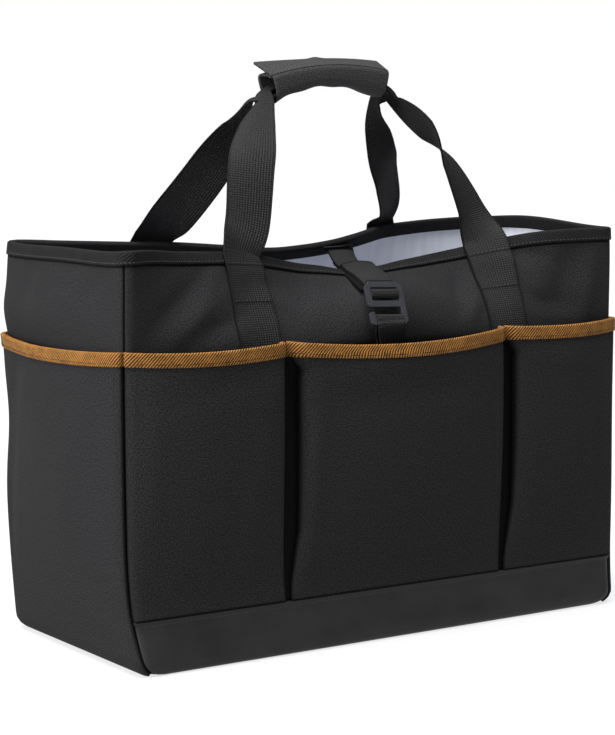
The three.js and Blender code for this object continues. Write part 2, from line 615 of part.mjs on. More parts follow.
// Webbing loop that holds the buckle: behind the top bar, round the loop bar from the front, and back up
function buckleLoop() {
  const clear = BUCKLE.thickness / 2 + GAP + WEBBING / 2;
  const bar = (LEVEL.loopBarTop + LEVEL.loopBarBottom) / 2;
  const below = LEVEL.loopBarBottom - GAP - WEBBING / 2;
  const behind = -clear - WEBBING - GAP;
  const places = [
    [LOOP_END, -clear], [LEVEL.top, -clear], [LEVEL.windowTop, -clear], [LEVEL.loopBarTop + 3, 0.2],
    [LEVEL.loopBarTop + 0.8, clear - 0.2], [bar, clear], [below + 0.6, clear - 0.6], [below - 0.5, 0],
    [below + 0.6, -clear + 0.4], [bar, -clear - 0.2], [LEVEL.loopBarTop + 3, behind + 0.6],
    [LEVEL.windowTop, behind], [LEVEL.top, behind], [LOOP_END, behind],
  ];
  return flatStrip(onBuckle(places), 2, LOOP_WIDTH, WEBBING);
}

// Lower webbing: up the front of the wall, over the hook's bar, and back down behind it
function closureWebbing() {
  const bar = (HOOK.gapBottom + HOOK.bottom) / 2;
  const clear = BUCKLE.thickness / 2 + GAP + WEBBING / 2;
  const onFront = ({ s, out }) => ({
    place: onWallAtX("front", STRAP_FRONT_X, s, out),
    across: alongWall("front", STRAP_FRONT_X, s).negate(),
  });
  const top = HOOK.gapBottom + 2 * GAP + WEBBING / 2 + GAP;
  const turn = onBuckle([
    [HOOK.bottom, -clear], [bar, -clear], [HOOK.gapBottom, -clear], [top, 0],
    [HOOK.gapBottom, clear], [bar, clear], [HOOK.bottom, clear],
  ]);
  return flatStrip([...WEBBING_BEHIND.map(onFront), ...turn, ...WEBBING_BEFORE.map(onFront)], 2, LOOP_WIDTH, WEBBING);
}

// Finishes, by what the piece is made of
const FINISHES = {
  polyester: { color: "#2e2e2f", roughness: 0.85, metalness: 0 },
  coated: { color: "#2b2b2d", roughness: 0.55, metalness: 0 },
  satin: { color: "#b4b8c4", roughness: 0.5, metalness: 0 },
  blackTwill: { color: "#1c1c1d", roughness: 0.8, metalness: 0 },
  tanTwill: { color: "#a06f38", roughness: 0.75, metalness: 0 },
  webbing: { color: "#2f2f30", roughness: 0.7, metalness: 0 },
  plastic: { color: "#4a4b50", roughness: 0.4, metalness: 0 },
};

// One named piece with its own finish
function piece(name, geometry, finish) {
  const mesh = new THREE.Mesh(geometry, new THREE.MeshStandardMaterial(FINISHES[finish]));
  mesh.name = name;
  return mesh;
}

// Panels, base, lining and rim of the body
function bodyPieces() {
  const longColumns = wallColumns("front");
  const endColumns = wallColumns("left").map((t) => clamp(t, -END_SPAN, END_SPAN));
  const longRows = [BASE_TOP + SEAM, ...WALL_ROWS];
  const endRows = [FLOOR_EDGE + SEAM, ...EDGE_ROWS.slice(1), BASE_TOP, ...WALL_ROWS];
  return [
    piece("front_panel", panel("front", longColumns, longRows), "polyester"),
    piece("back_panel", panel("back", longColumns, longRows), "polyester"),
    piece("side_panel_left", panel("left", endColumns, endRows), "polyester"),
    piece("side_panel_right", panel("right", endColumns, endRows), "polyester"),
    piece("base", baseBand(), "coated"),
    piece("lining", liningBag(), "satin"),
    piece("rim_tape", rimTape(), "blackTwill"),
  ];
}

// Cloth and tape of every pocket
function pocketPieces() {
  return POCKETS.flatMap((pocket) => {
    const onFront = pocket.side === "front";
    const columns = onFront ? pocketColumns(FRONT_POCKET_CELLS) : wallColumns(pocket.side);
    const levels = onFront ? FRONT_POCKET_ROWS : SIDE_POCKET_ROWS;
    const rows = [pocket.foot, ...levels, POCKET_TOP].map((s) => (s - pocket.foot) / (POCKET_TOP - pocket.foot));
    return [
      piece(`pocket_${pocket.name}`, pocketCloth(pocket, columns, rows), "polyester"),
      piece(`tape_${pocket.name}`, pocketTape(pocket, columns), "tanTwill"),
    ];
  });
}

// Handles with their wrap
function handlePieces() {
  const front = carryHandle("front", FRONT_LEG_END, FRONT_LEFT_LEG, FRONT_RIGHT_LEG, FRONT_GRIP_RISE);
  const back = carryHandle("back", BACK_LEG_END, BACK_LEFT_LEG, BACK_RIGHT_LEG, BACK_GRIP_RISE);
  return [
    piece("handle_front", front, "webbing"),
    piece("handle_back", back, "webbing"),
    piece("handle_wrap", handleWrap(), "polyester"),
  ];
}

// Strap over the mouth with its buckle
function closurePieces() {
  const buckle = piece("buckle", buckleGeometry(), "plastic");
  buckle.applyMatrix4(buckleFrame());
  return [
    piece("closure_strap", closureStrap(), "polyester"),
    piece("buckle_loop", buckleLoop(), "webbing"),
    buckle,
    piece("closure_webbing", closureWebbing(), "webbing"),
  ];
}

const bag = new THREE.Group();
bag.add(...bodyPieces(), ...pocketPieces(), ...handlePieces(), ...closurePieces());

export default bag;
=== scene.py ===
"""Dresses the utility tote bag: cloth, tape, webbing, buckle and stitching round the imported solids.

Lengths in the tables are millimetres in the part's own frame: +Z up, the front faces -Y.
"""

import logging
import math
from dataclasses import dataclass
from enum import Enum
from typing import Callable, NamedTuple

import bmesh
import bpy
import numpy as np
from mathutils import Matrix, Vector


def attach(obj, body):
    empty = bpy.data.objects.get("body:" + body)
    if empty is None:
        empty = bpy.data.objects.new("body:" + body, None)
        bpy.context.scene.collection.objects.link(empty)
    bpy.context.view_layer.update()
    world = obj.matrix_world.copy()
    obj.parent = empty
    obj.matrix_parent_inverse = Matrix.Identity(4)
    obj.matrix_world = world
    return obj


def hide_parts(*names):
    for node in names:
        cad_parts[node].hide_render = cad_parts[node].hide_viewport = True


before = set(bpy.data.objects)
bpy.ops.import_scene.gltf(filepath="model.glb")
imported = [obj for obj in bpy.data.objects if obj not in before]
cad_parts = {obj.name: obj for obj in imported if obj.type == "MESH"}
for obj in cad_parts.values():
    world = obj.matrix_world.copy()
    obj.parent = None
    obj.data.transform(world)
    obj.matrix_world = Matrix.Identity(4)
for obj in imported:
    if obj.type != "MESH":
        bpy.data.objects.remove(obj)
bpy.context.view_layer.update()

LOG = logging.getLogger("tote")
Array = np.ndarray
MM = 0.001
UV_NAME = "cloth"
# Vertex attribute of painted shade: 0 where a piece's colour is painted dark as shade in seams, pleats,
# grooves and under tapes, 1 where there is none
SHADE_MASK_ATTRIBUTE = "painted_shade_mask"
MERGE_DISTANCE = 1e-6

# Body sizes that several pieces share
HALF_WIDTH = 255.0
HALF_DEPTH = 105.0
RIM = 347.0
BASE_TOP = 45.0
POCKET_TOP = 265.0
BEND_LEVEL = 265.0
TAPE_WIDTH = 10.4
TAPE_TRADE_WIDTH = 25.0
TAPE = 0.9
TAPE_GAP = 0.5
CLOTH = 2.0
LINING = 1.0
POCKET_CLOTH = 1.8
WEBBING = 1.6
GAP = 0.4
RIM_EASE = 0.9
TAPE_OUT = TAPE_GAP + TAPE

# Share of an edge that a line of stitches runs along
STITCH_SPAN = 0.985


class Side(Enum):
    """The four walls of the body, counterclockwise from the front."""

    FRONT = "front"
    RIGHT = "right"
    BACK = "back"
    LEFT = "left"


class Held(Enum):
    """How a piece of cloth is held."""

    STRETCHED = "stretched"
    FOLDED = "folded"
    HUNG = "hung"
    GATHERED = "gathered"


class LeanRow(NamedTuple):
    """Lean of a long wall in degrees and the level of its bend, at x along it."""

    x: float
    lean: float
    bend: float = BEND_LEVEL


class Fold(NamedTuple):
    """A soft ridge of cloth, or a dent below 0: middle, heading, half length, half width and height."""

    x: float
    s: float
    turn: float
    length: float
    width: float
    height: float


class Push(NamedTuple):
    """A local shift of the body's walls: middle, reach in plan and up the wall, and the shift itself."""

    x: float
    y: float
    s: float
    reach: float
    rise: float
    dx: float
    dy: float
    dz: float


PUSHES = (
    Push(-255, 105, 288, 110, 22, -4.6, 1.0, 0.0),
    Push(-255, 105, 330, 110, 32, -3.4, 0.0, 0.0),
    Push(-255, 105, 190, 70, 44, 5.0, 0.0, 0.0),
    Push(255, -105, 190, 70, 100, -5.0, 0.0, 0.0),
    Push(255, -105, 340, 70, 50, 2.6, 0.0, 0.0),
    Push(255, 18, 347, 84, 60, 0.0, 0.0, 7.5),
    Push(-255, 105, 347, 70, 50, 0.0, 0.0, -2.0),
    Push(-255, -105, 347, 60, 50, 0.0, 0.0, -1.0),
)
FRONT_LEAN = (
    LeanRow(-245, 0), LeanRow(-198, 18.8), LeanRow(-146, 25.6), LeanRow(-105, 33.7, 266),
    LeanRow(-66, 46.4, 273), LeanRow(-37, 56.7, 284), LeanRow(-10, 70, 295), LeanRow(8, 72, 298),
    LeanRow(22, 68, 296), LeanRow(45, 57.4, 288), LeanRow(68, 48.9, 278), LeanRow(115, 36.2, 267),
    LeanRow(150, 25), LeanRow(180, 14), LeanRow(208, 6), LeanRow(245, 0),
)
BACK_LEAN = (
    LeanRow(-245, 0), LeanRow(-212, 12), LeanRow(-160, 21), LeanRow(-115, 25), LeanRow(-63, 32),
    LeanRow(-21, 37), LeanRow(17, 35.5), LeanRow(55, 31), LeanRow(83, 25), LeanRow(101, 20),
    LeanRow(130, 11), LeanRow(160, 6), LeanRow(200, 1), LeanRow(245, 0),
)
FRONT_FOLDS = (
    Fold(-196, 306, 35, 38, 9, -3.2),
    Fold(-182, 292, 35, 40, 9, 3.2),
    Fold(-164, 322, 50, 26, 8, 2.4),
    Fold(-160, 282, 20, 22, 8, -2.8),
    Fold(-98, 300, -25, 16, 6, 2.0),
    Fold(-100, 318, -15, 16, 6, -1.6),
    Fold(-60, 300, 60, 26, 10, 2.4),
    Fold(62, 300, -50, 26, 10, 2.4),
    Fold(92, 306, 65, 26, 9, -3.2),
    Fold(102, 288, 60, 18, 7, 2.8),
    Fold(160, 318, -35, 18, 5, 2.2),
    Fold(166, 302, -40, 22, 5, 2.0),
    Fold(172, 330, -20, 22, 6, -2.0),
    Fold(205, 312, 70, 30, 14, -4.0),
    Fold(190, 284, -10, 26, 9, -2.8),
    Fold(226, 290, 80, 30, 9, 2.4),
)
BACK_FOLDS = (
    Fold(-190, 300, -30, 40, 12, 1.6),
    Fold(-90, 292, 25, 34, 11, -1.6),
    Fold(20, 306, 75, 30, 14, -1.8),
    Fold(84, 288, -40, 34, 11, 1.6),
    Fold(196, 306, 30, 40, 12, -1.6),
    Fold(-60, 150, 12, 90, 24, 1.8),
    Fold(96, 120, -16, 90, 26, -1.8),
    Fold(-170, 110, 60, 60, 22, -1.6),
)
LEFT_FOLDS = (
    Fold(-60, 308, 70, 30, 14, -1.2),
    Fold(20, 300, -20, 40, 12, 0.8),
    Fold(60, 318, 30, 26, 10, -0.8),
)
RIGHT_FOLDS = (
    Fold(60, 308, 110, 30, 14, -1.2),
    Fold(-30, 302, 15, 40, 12, 0.9),
)


@dataclass(frozen=True)
class WallSpec:
    """One wall of the body, turned in plan from the front's place."""

    long: bool
    turn: float
    swell: float
    dip: float
    folds: tuple[Fold, ...]
    lean: tuple[LeanRow, ...] = ()
    drift: float = 0.0


WALLS = {
    Side.FRONT: WallSpec(True, 0.0, swell=0.0, dip=0.0, folds=FRONT_FOLDS, lean=FRONT_LEAN, drift=7.0),
    Side.RIGHT: WallSpec(False, math.pi / 2, swell=1.5, dip=1.0, folds=RIGHT_FOLDS),
    Side.BACK: WallSpec(True, math.pi, swell=6.0, dip=0.0, folds=BACK_FOLDS, lean=BACK_LEAN, drift=4.0),
    Side.LEFT: WallSpec(False, -math.pi / 2, swell=4.0, dip=2.6, folds=LEFT_FOLDS),
}


def smooth_column(stations: Array, values: Array, at: Array) -> Array:
    """Smooth value of a table column through all its rows.

    Args:
        stations: ascending places of the rows.
        values: the column's values.
        at: places to read.

    Returns:
        The values at those places.
    """
    at = np.clip(at, stations[0], stations[-1])
    i = np.clip(np.searchsorted(stations, at) - 1, 0, len(stations) - 2)
    slopes = np.empty(len(stations))
    slopes[1:-1] = (values[2:] - values[:-2]) / (stations[2:] - stations[:-2])
    slopes[0] = (values[1] - values[0]) / (stations[1] - stations[0])
    slopes[-1] = (values[-1] - values[-2]) / (stations[-1] - stations[-2])
    span = stations[i + 1] - stations[i]
    a = (at - stations[i]) / span
    b = 1 - a
    bend = a * b * span * (b * slopes[i] - a * slopes[i + 1])
    return values[i] * (1 + 2 * a) * b * b + values[i + 1] * (1 + 2 * b) * a * a + bend


def relief(folds: tuple[Fold, ...], x: Array, s: Array) -> Array:
    """Height of a wall's folds.

    Args:
        folds: the wall's folds.
        x: places along the wall.
        s: places up the wall.

    Returns:
        How far the cloth stands out there.
    """
    total = np.zeros(np.broadcast(x, s).shape)
    for fold in folds:
        cosine = math.cos(math.radians(fold.turn))
        sine = math.sin(math.radians(fold.turn))
        along = (x - fold.x) * cosine + (s - fold.s) * sine
        across = (s - fold.s) * cosine - (x - fold.x) * sine
        total += fold.height * np.exp(-((along / fold.length) ** 2) - (across / fold.width) ** 2)
    return total


def raised(surface: Callable[[Array, Array], Array], a: Array, b: Array, out: Array | float) -> Array:
    """Points of a surface moved out along its own normal.

    Args:
        surface: places of the surface by two parameters.
        a: first parameter.
        b: second parameter.
        out: distance along the normal.

    Returns:
        The moved points.
    """
    step_a = 1e-3
    step_b = 0.05
    along_a = surface(a + step_a, b) - surface(a - step_a, b)
    along_b = surface(a, b + step_b) - surface(a, b - step_b)
    normal = np.cross(along_a, along_b)
    normal /= np.linalg.norm(normal, axis=-1, keepdims=True)
    return surface(a, b) + normal * np.asarray(out)[..., None]


def smooth_step(value: Array | float) -> Array | float:
    """Soft step from 0 to 1 of a value that is clipped to that range."""
    clipped = np.clip(value, 0, 1)
    return clipped * clipped * (3 - 2 * clipped)


@dataclass(frozen=True)
class BodyShape:
    """Outer surface of the bag's body, in the shape that the strap pulls it into."""

    width: float = 2 * HALF_WIDTH
    depth: float = 2 * HALF_DEPTH
    barrel: float = 4.0
    long_flare: float = 8.0
    end_taper: float = 5.0
    flare_top: float = 110.0
    left_flare: float = 14.0
    right_flare: float = 6.0
    front_flare_top: float = 66.0
    flare_start: float = 10.0
    flare_ramp: float = 80.0
    edge_radius: float = 13.0
    end_round: float = 1.4
    corner: float = 10.0
    corner_cells: int = 10
    corner_crowding: float = 1.7
    bend_half: float = 24.0
    fold_clear: float = 4.0
    fold_fade: float = 14.0
    end_fade: float = 12.0
    seam_depth: float = 2.0
    seam_half: float = 0.9

    @property
    def floor_edge(self) -> float:
        """Where the walls meet the floor, measured down the wall."""
        return self.edge_radius * (1 - math.pi / 2)

    @property
    def bend_lowest(self) -> float:
        """Level where the lowest bend starts."""
        return BEND_LEVEL - self.bend_half

    def girth(self, s: Array) -> tuple[Array, Array, Array]:
        """Half width, half depth and height of the body.

        Args:
            s: places up the wall.

        Returns:
            The three measures there.
        """
        barrel = self.barrel * np.sin(np.pi * np.clip(s / RIM, 0, 1))
        low = np.maximum(0, 1 - s / self.flare_top) ** 2
        turned = np.maximum(0, self.edge_radius - s) / self.edge_radius
        inset = self.edge_radius * (1 - np.cos(turned))
        half_width = self.width / 2 + barrel - self.end_taper * low - inset * self.end_round
        half_depth = self.depth / 2 + barrel + self.long_flare * low - inset
        level = np.where(turned > 0, self.edge_radius * (1 - np.sin(turned)), s)
        return half_width, half_depth, level

    def half_run(self, side: Side, s: Array) -> Array:
        """Half the run of a wall from its middle to the middle of a corner.

        Args:
            side: the wall.
            s: places up the wall.

        Returns:
            The run there.
        """
        half_width, half_depth, _ = self.girth(s)
        half = half_width if WALLS[side].long else half_depth
        return half - self.corner + self.corner * math.pi / 4

    def bent(self, s: Array, bend: Array, angle: Array) -> tuple[Array, Array]:
        """Profile of a wall that leans in above a bend.

        Args:
            s: places up the wall.
            bend: level of the middle of the bend.
            angle: lean from upright, in radians.

        Returns:
            How far in and how high those places lie.
        """
        upright = 1e-6
        start = bend - self.bend_half
        safe = np.maximum(angle, upright)
        radius = 2 * self.bend_half / safe
        turned = safe * np.clip((s - start) / (2 * self.bend_half), 0, 1)
        straight = np.maximum(0, s - bend - self.bend_half)
        inward = radius * (1 - np.cos(turned)) + straight * np.sin(angle)
        rise = start + radius * np.sin(turned) + straight * np.cos(angle)
        leaning = (s > start) & (angle > upright)
        return np.where(leaning, inward, 0), np.where(leaning, rise, s)

    def wall(self, side: Side, t: Array, s: Array, pulled: bool = True) -> Array:
        """Points of the outer surface of a wall.

        Args:
            side: the wall.
            t: from -1 to 1, counterclockwise from corner to corner.
            s: places up the wall.
            pulled: whether the strap's pull and the folds are taken in.

        Returns:
            The points.
        """
        spec = WALLS[side]
        t, s = np.broadcast_arrays(np.asarray(t, float), np.asarray(s, float))
        half_width, half_depth, level = self.girth(s)
        straight = (half_width if spec.long else half_depth) - self.corner
        run = t * self.half_run(side, s)
        turned = np.maximum(0, np.abs(run) - straight) / self.corner
        along = np.sign(run) * (np.minimum(np.abs(run), straight) + self.corner * np.sin(turned))
        out = (half_depth if spec.long else half_width) - self.corner * (1 - np.cos(turned))
        height = np.clip((s - BASE_TOP) / (RIM - BASE_TOP), 0, 1)
        middle = np.maximum(0, 1 - t * t)
        out = out + spec.swell * middle * np.sin(np.pi * height)
        shift = np.zeros_like(along)
        inward = np.zeros_like(along)
        rise = np.zeros_like(along)
        cosine, sine = math.cos(spec.turn), math.sin(spec.turn)
        if pulled:
            from_rim = smooth_step((RIM - self.fold_clear - s) / self.fold_fade)
            from_ends = smooth_step((1 - np.abs(t)) * self.end_fade)
            out = out + relief(spec.folds, along, s) * from_rim * from_ends
        if pulled and spec.lean:
            table = np.array(spec.lean)
            lean = smooth_column(table[:, 0], table[:, 1], along * cosine)
            bend = smooth_column(table[:, 0], table[:, 2], along * cosine)
            inward, high = self.bent(s, bend, np.radians(lean))
            rise = high - s
            above = np.maximum(0, s - self.bend_lowest) / (RIM - self.bend_lowest)
            shift = spec.drift * cosine * middle * above
        rise = rise - spec.dip * (1 - t**4) * np.maximum(0, (s - BEND_LEVEL) / (RIM - BEND_LEVEL))
        x, y = along + shift, -out + inward
        points = np.stack([x * cosine - y * sine, x * sine + y * cosine, level + rise], axis=-1)
        return self.settled(points, s)

    def settled(self, points: Array, s: Array) -> Array:
        """Points of the walls after the base is spread forward and the local pushes are taken in.

        Args:
            points: places of the walls.
            s: places up the wall.

        Returns:
            The shifted points.
        """
        x, y = points[..., 0], points[..., 1]
        forward = smooth_step((-y - self.flare_start) / self.flare_ramp)
        low = np.maximum(0, 1 - np.maximum(s, 0) / self.front_flare_top) ** 2
        moved = points.copy()
        flare = self.left_flare + (self.right_flare - self.left_flare) * (x / self.width + 0.5)
        moved[..., 1] -= flare * low * forward
        for push in PUSHES:
            in_plan = ((x - push.x) ** 2 + (y - push.y) ** 2) / push.reach**2
            apart = in_plan + ((s - push.s) / push.rise) ** 2
            moved += np.exp(-apart)[..., None] * np.array([push.dx, push.dy, push.dz])
        return moved

    def on_wall(self, side: Side, t: Array, s: Array, out: Array | float, pulled: bool = True) -> Array:
        """Points of a wall moved out from its outer surface; see wall and raised."""
        t, s = np.broadcast_arrays(np.asarray(t, float), np.asarray(s, float))
        return raised(lambda a, b: self.wall(side, a, b, pulled), t, s, out)

    def at_x(self, side: Side, x: Array | float, s: Array | float, out: Array | float) -> Array:
        """Points of the front or the back at x, moved out from its outer surface."""
        t = np.asarray(x, float) * math.cos(WALLS[side].turn) / self.half_run(side, np.asarray(s, float))
        return self.on_wall(side, t, s, out)

    def along(self, side: Side, x: float, s: float) -> Array:
        """Direction along a long wall towards +X."""
        reach = 5.0
        way = self.at_x(side, x + reach, s, 0.0) - self.at_x(side, x - reach, s, 0.0)
        return way / np.linalg.norm(way)

    def seam_dip(self, side: Side, t: Array, s: Array) -> Array:
        """How far the cloth of a wall dips into the upright seams at its corners.

        Args:
            side: the wall.
            t: from corner to corner.
            s: places up the wall.

        Returns:
            The dip, 0 or more.
        """
        off = (1 - np.abs(t)) * self.half_run(side, s)
        return self.seam_depth * np.exp(-((off / self.seam_half) ** 2))

    def columns(self, side: Side, cell: float) -> Array:
        """Stations across a wall, crowded towards the seams in its rounded corners.

        Args:
            side: the wall.
            cell: spacing between the corners.

        Returns:
            Stations from -1 to 1.
        """
        half = float(self.half_run(side, np.asarray(RIM)))
        start = 1 - self.corner * math.pi / 4 / half
        middle = np.linspace(-start, start, max(2, round(2 * start * half / cell)) + 1)
        even = np.linspace(0, 1, self.corner_cells + 1)[1:]
        curve = 1 - (1 - start) * (1 - even) ** self.corner_crowding
        return np.concatenate([-curve[::-1], middle, curve])

    def ring(self, cell: float) -> Array:
        """Stations all round the body: the number of the wall plus the share across it.

        Args:
            cell: spacing between the corners.

        Returns:
            Stations from 0 to 4.
        """
        parts = [index + (self.columns(side, cell)[:-1] + 1) / 2 for index, side in enumerate(Side)]
        return np.append(np.concatenate(parts), float(len(Side)))

    def around(self, station: Array, s: Array, out: Array | float) -> Array:
        """Points all round the body.

        Args:
            station: number of the wall plus the share across it.
            s: places up the wall.
            out: distance out from the outer surface.

        Returns:
            The points.
        """
        station, s, out = np.broadcast_arrays(station, s, np.asarray(out, float))
        number = np.floor(station).astype(int)
        t = 2 * (station - number) - 1
        points = np.empty(station.shape + (3,))
        for index, side in enumerate(Side):
            here = number % len(Side) == index
            points[here] = self.on_wall(side, t[here], s[here], out[here])
        return points


def linear(hexa: str) -> tuple[float, float, float, float]:
    """Linear colour of an sRGB hex value.

    Args:
        hexa: six hex digits after a number sign.

    Returns:
        Red, green, blue and an alpha of 1.
    """
    shares = [int(hexa[i:i + 2], 16) / 255 for i in (1, 3, 5)]
    red, green, blue = (c / 12.92 if c <= 0.04045 else ((c + 0.055) / 1.055) ** 2.4 for c in shares)
    return red, green, blue, 1.0


def add_node(
    tree: bpy.types.NodeTree,
    kind: str,
    settings: dict[str | int, object] | None = None,
    links: dict[str | int, bpy.types.NodeSocket] | None = None,
) -> bpy.types.Node:
    """Adds one node with its settings and links.

    Args:
        tree: the tree that takes the node.
        kind: the node's type name.
        settings: values of its sockets or properties, by name or socket number.
        links: the outputs that feed its sockets.

    Returns:
        The node.
    """
    node = tree.nodes.new(kind)
    for key, value in (settings or {}).items():
        if isinstance(key, int) or key in node.inputs:
            node.inputs[key].default_value = value
        else:
            setattr(node, key, value)
    for key, source in (links or {}).items():
        tree.links.new(source, node.inputs[key])
    return node


# Radians of a wave texture's phase to each unit of its coordinates
WAVE_RATE = 20


def bands(pitch: float) -> float:
    """Scale of a wave texture whose bands repeat after a pitch in mm, on coordinates in metres."""
    return 2 * math.pi / WAVE_RATE / (pitch * MM)


def grains(size: float) -> float:
    """Scale of a noise texture whose grains are a size in mm, on coordinates in metres."""
    return 1 / (size * MM)


# Sockets of the colour mix
MIX_A = 6
MIX_B = 7
MIX_RESULT = 2
WHITE = (1.0, 1.0, 1.0, 1.0)


@dataclass(frozen=True)
class Finish:
    """A finish: its name, its two colours and how it takes the light."""

    name: str
    dark: str
    light: str
    roughness: float
    specular: float

    def tree(self) -> bpy.types.NodeTree:
        """A new empty material of this name, as its node tree."""
        material = bpy.data.materials.new(self.name)
        material.use_nodes = True
        material.node_tree.nodes.clear()
        return material.node_tree

    def close(
        self,
        tree: bpy.types.NodeTree,
        shade: bpy.types.NodeSocket,
        height: bpy.types.NodeSocket,
        relief_mm: float,
        painted_shade_colour: str | None = None,
    ) -> None:
        """Ends the tree: colour from the shade, bump from the height.

        Args:
            tree: the material's tree.
            shade: share of the light colour.
            height: relief from 0 to 1.
            relief_mm: the relief's real height.
            painted_shade_colour: colour of the painted shade, mixed in where the piece's shade attribute is
                0.
        """
        mix = {"data_type": "RGBA", MIX_A: linear(self.dark), MIX_B: linear(self.light)}
        colour = add_node(tree, "ShaderNodeMix", mix, {0: shade})
        # Paints shade: the dark colour is mixed in by the piece's painted shade attribute
        if painted_shade_colour:
            painted_shade_mask = add_node(tree, "ShaderNodeAttribute", {"attribute_name": SHADE_MASK_ATTRIBUTE})
            colour = add_node(tree, "ShaderNodeMix", {"data_type": "RGBA", MIX_A: linear(painted_shade_colour)},
                              {0: painted_shade_mask.outputs["Fac"], MIX_B: colour.outputs[MIX_RESULT]})
        depth = {"Strength": 1.0, "Distance": relief_mm * MM}
        bump = add_node(tree, "ShaderNodeBump", depth, {"Height": height})
        surface = {"Roughness": self.roughness, "Specular IOR Level": self.specular}
        fed = {"Base Color": colour.outputs[MIX_RESULT], "Normal": bump.outputs["Normal"]}
        shader = add_node(tree, "ShaderNodeBsdfPrincipled", surface, fed)
        add_node(tree, "ShaderNodeOutputMaterial", {}, {"Surface": shader.outputs["BSDF"]})

    def material(self) -> bpy.types.Material:
        """The finish's material, made at its first use."""
        found = bpy.data.materials.get(self.name)
        if found is None:
            self.make()
            found = bpy.data.materials[self.name]
        return found

    def make(self) -> None:
        """Builds the material's nodes."""
        raise NotImplementedError


@dataclass(frozen=True)
class PlainWeave(Finish):
    """Plain woven polyester: matt, with a fine grain of warp and weft and a slight fleck."""

    thread: float = 1.6
    fleck: float = 1.15
    thread_shade: float = 0.35
    thread_height: float = 0.6
    relief_mm: float = 0.14
    # Colour of the shade painted into seams, pleats, grooves and under tapes
    painted_shade_colour: str = "#050505"

    def make(self) -> None:
        """Builds the weave; real threads are 0.5 mm apart and are drawn coarser, so that they show."""
        tree = self.tree()
        uv = add_node(tree, "ShaderNodeUVMap", {"uv_map": UV_NAME}).outputs["UV"]
        wave = {"Scale": bands(self.thread), "Distortion": 0.6, "Detail": 1.0, "Detail Scale": 2.0}
        warp = add_node(tree, "ShaderNodeTexWave", {**wave, "bands_direction": "X"}, {"Vector": uv})
        weft = add_node(tree, "ShaderNodeTexWave", {**wave, "bands_direction": "Y"}, {"Vector": uv})
        fleck = {"Scale": grains(self.fleck), "Detail": 3.0, "Roughness": 0.7}
        grain = add_node(tree, "ShaderNodeTexNoise", fleck, {"Vector": uv})
        crossed = add_node(tree, "ShaderNodeMath", {"operation": "SUBTRACT"},
                           {0: warp.outputs["Fac"], 1: weft.outputs["Fac"]})
        over = add_node(tree, "ShaderNodeMath", {"operation": "ABSOLUTE"}, {0: crossed.outputs[0]})
        flecked = add_node(tree, "ShaderNodeMapRange", {"From Min": 0.43, "From Max": 0.59},
                           {"Value": grain.outputs["Fac"]})
        shade = add_node(tree, "ShaderNodeMath", {"operation": "MULTIPLY_ADD", 1: self.thread_shade},
                         {0: over.outputs[0], 2: flecked.outputs[0]})
        height = add_node(tree, "ShaderNodeMath", {"operation": "MULTIPLY_ADD", 1: self.thread_height},
                          {0: over.outputs[0], 2: grain.outputs["Fac"]})
        self.close(tree, shade.outputs[0], height.outputs[0], self.relief_mm, self.painted_shade_colour)


@dataclass(frozen=True)
class CoatedFabric(Finish):
    """Coated base fabric: smooth, a little glossy, with a fine embossed grain and faint scuffs."""

    grain: float = 3.0
    scuff: float = 40.0
    relief_mm: float = 0.12

    def make(self) -> None:
        """Builds the coating's grain; the real grain of 0.8 mm is drawn coarser, so that it shows."""
        tree = self.tree()
        uv = add_node(tree, "ShaderNodeUVMap", {"uv_map": UV_NAME}).outputs["UV"]
        fine = {"Scale": grains(self.grain), "Detail": 2.0, "Roughness": 0.5}
        grain = add_node(tree, "ShaderNodeTexNoise", fine, {"Vector": uv})
        broad = {"Scale": grains(self.scuff), "Detail": 4.0, "Roughness": 0.6}
        scuffs = add_node(tree, "ShaderNodeTexNoise", broad, {"Vector": uv})
        shade = add_node(tree, "ShaderNodeMapRange", {"From Min": 0.35, "From Max": 0.7},
                         {"Value": scuffs.outputs["Fac"]})
        self.close(tree, shade.outputs[0], grain.outputs["Fac"], self.relief_mm)


@dataclass(frozen=True)
class SatinLining(Finish):
    """Satin lining: pale, smooth, with soft streaks along the warp."""

    streak: float = 9.0
    drawn_out: float = 0.12
    relief_mm: float = 0.25

    def make(self) -> None:
        """Builds the satin's streaks."""
        tree = self.tree()
        uv = add_node(tree, "ShaderNodeUVMap", {"uv_map": UV_NAME}).outputs["UV"]
        drawn = add_node(tree, "ShaderNodeMapping", {"Scale": (1.0, self.drawn_out, 1.0)}, {"Vector": uv})
        streaks = {"Scale": grains(self.streak), "Detail": 3.0, "Roughness": 0.55}
        satin = add_node(tree, "ShaderNodeTexNoise", streaks, {"Vector": drawn.outputs["Vector"]})
        self.close(tree, satin.outputs["Fac"], satin.outputs["Fac"], self.relief_mm)


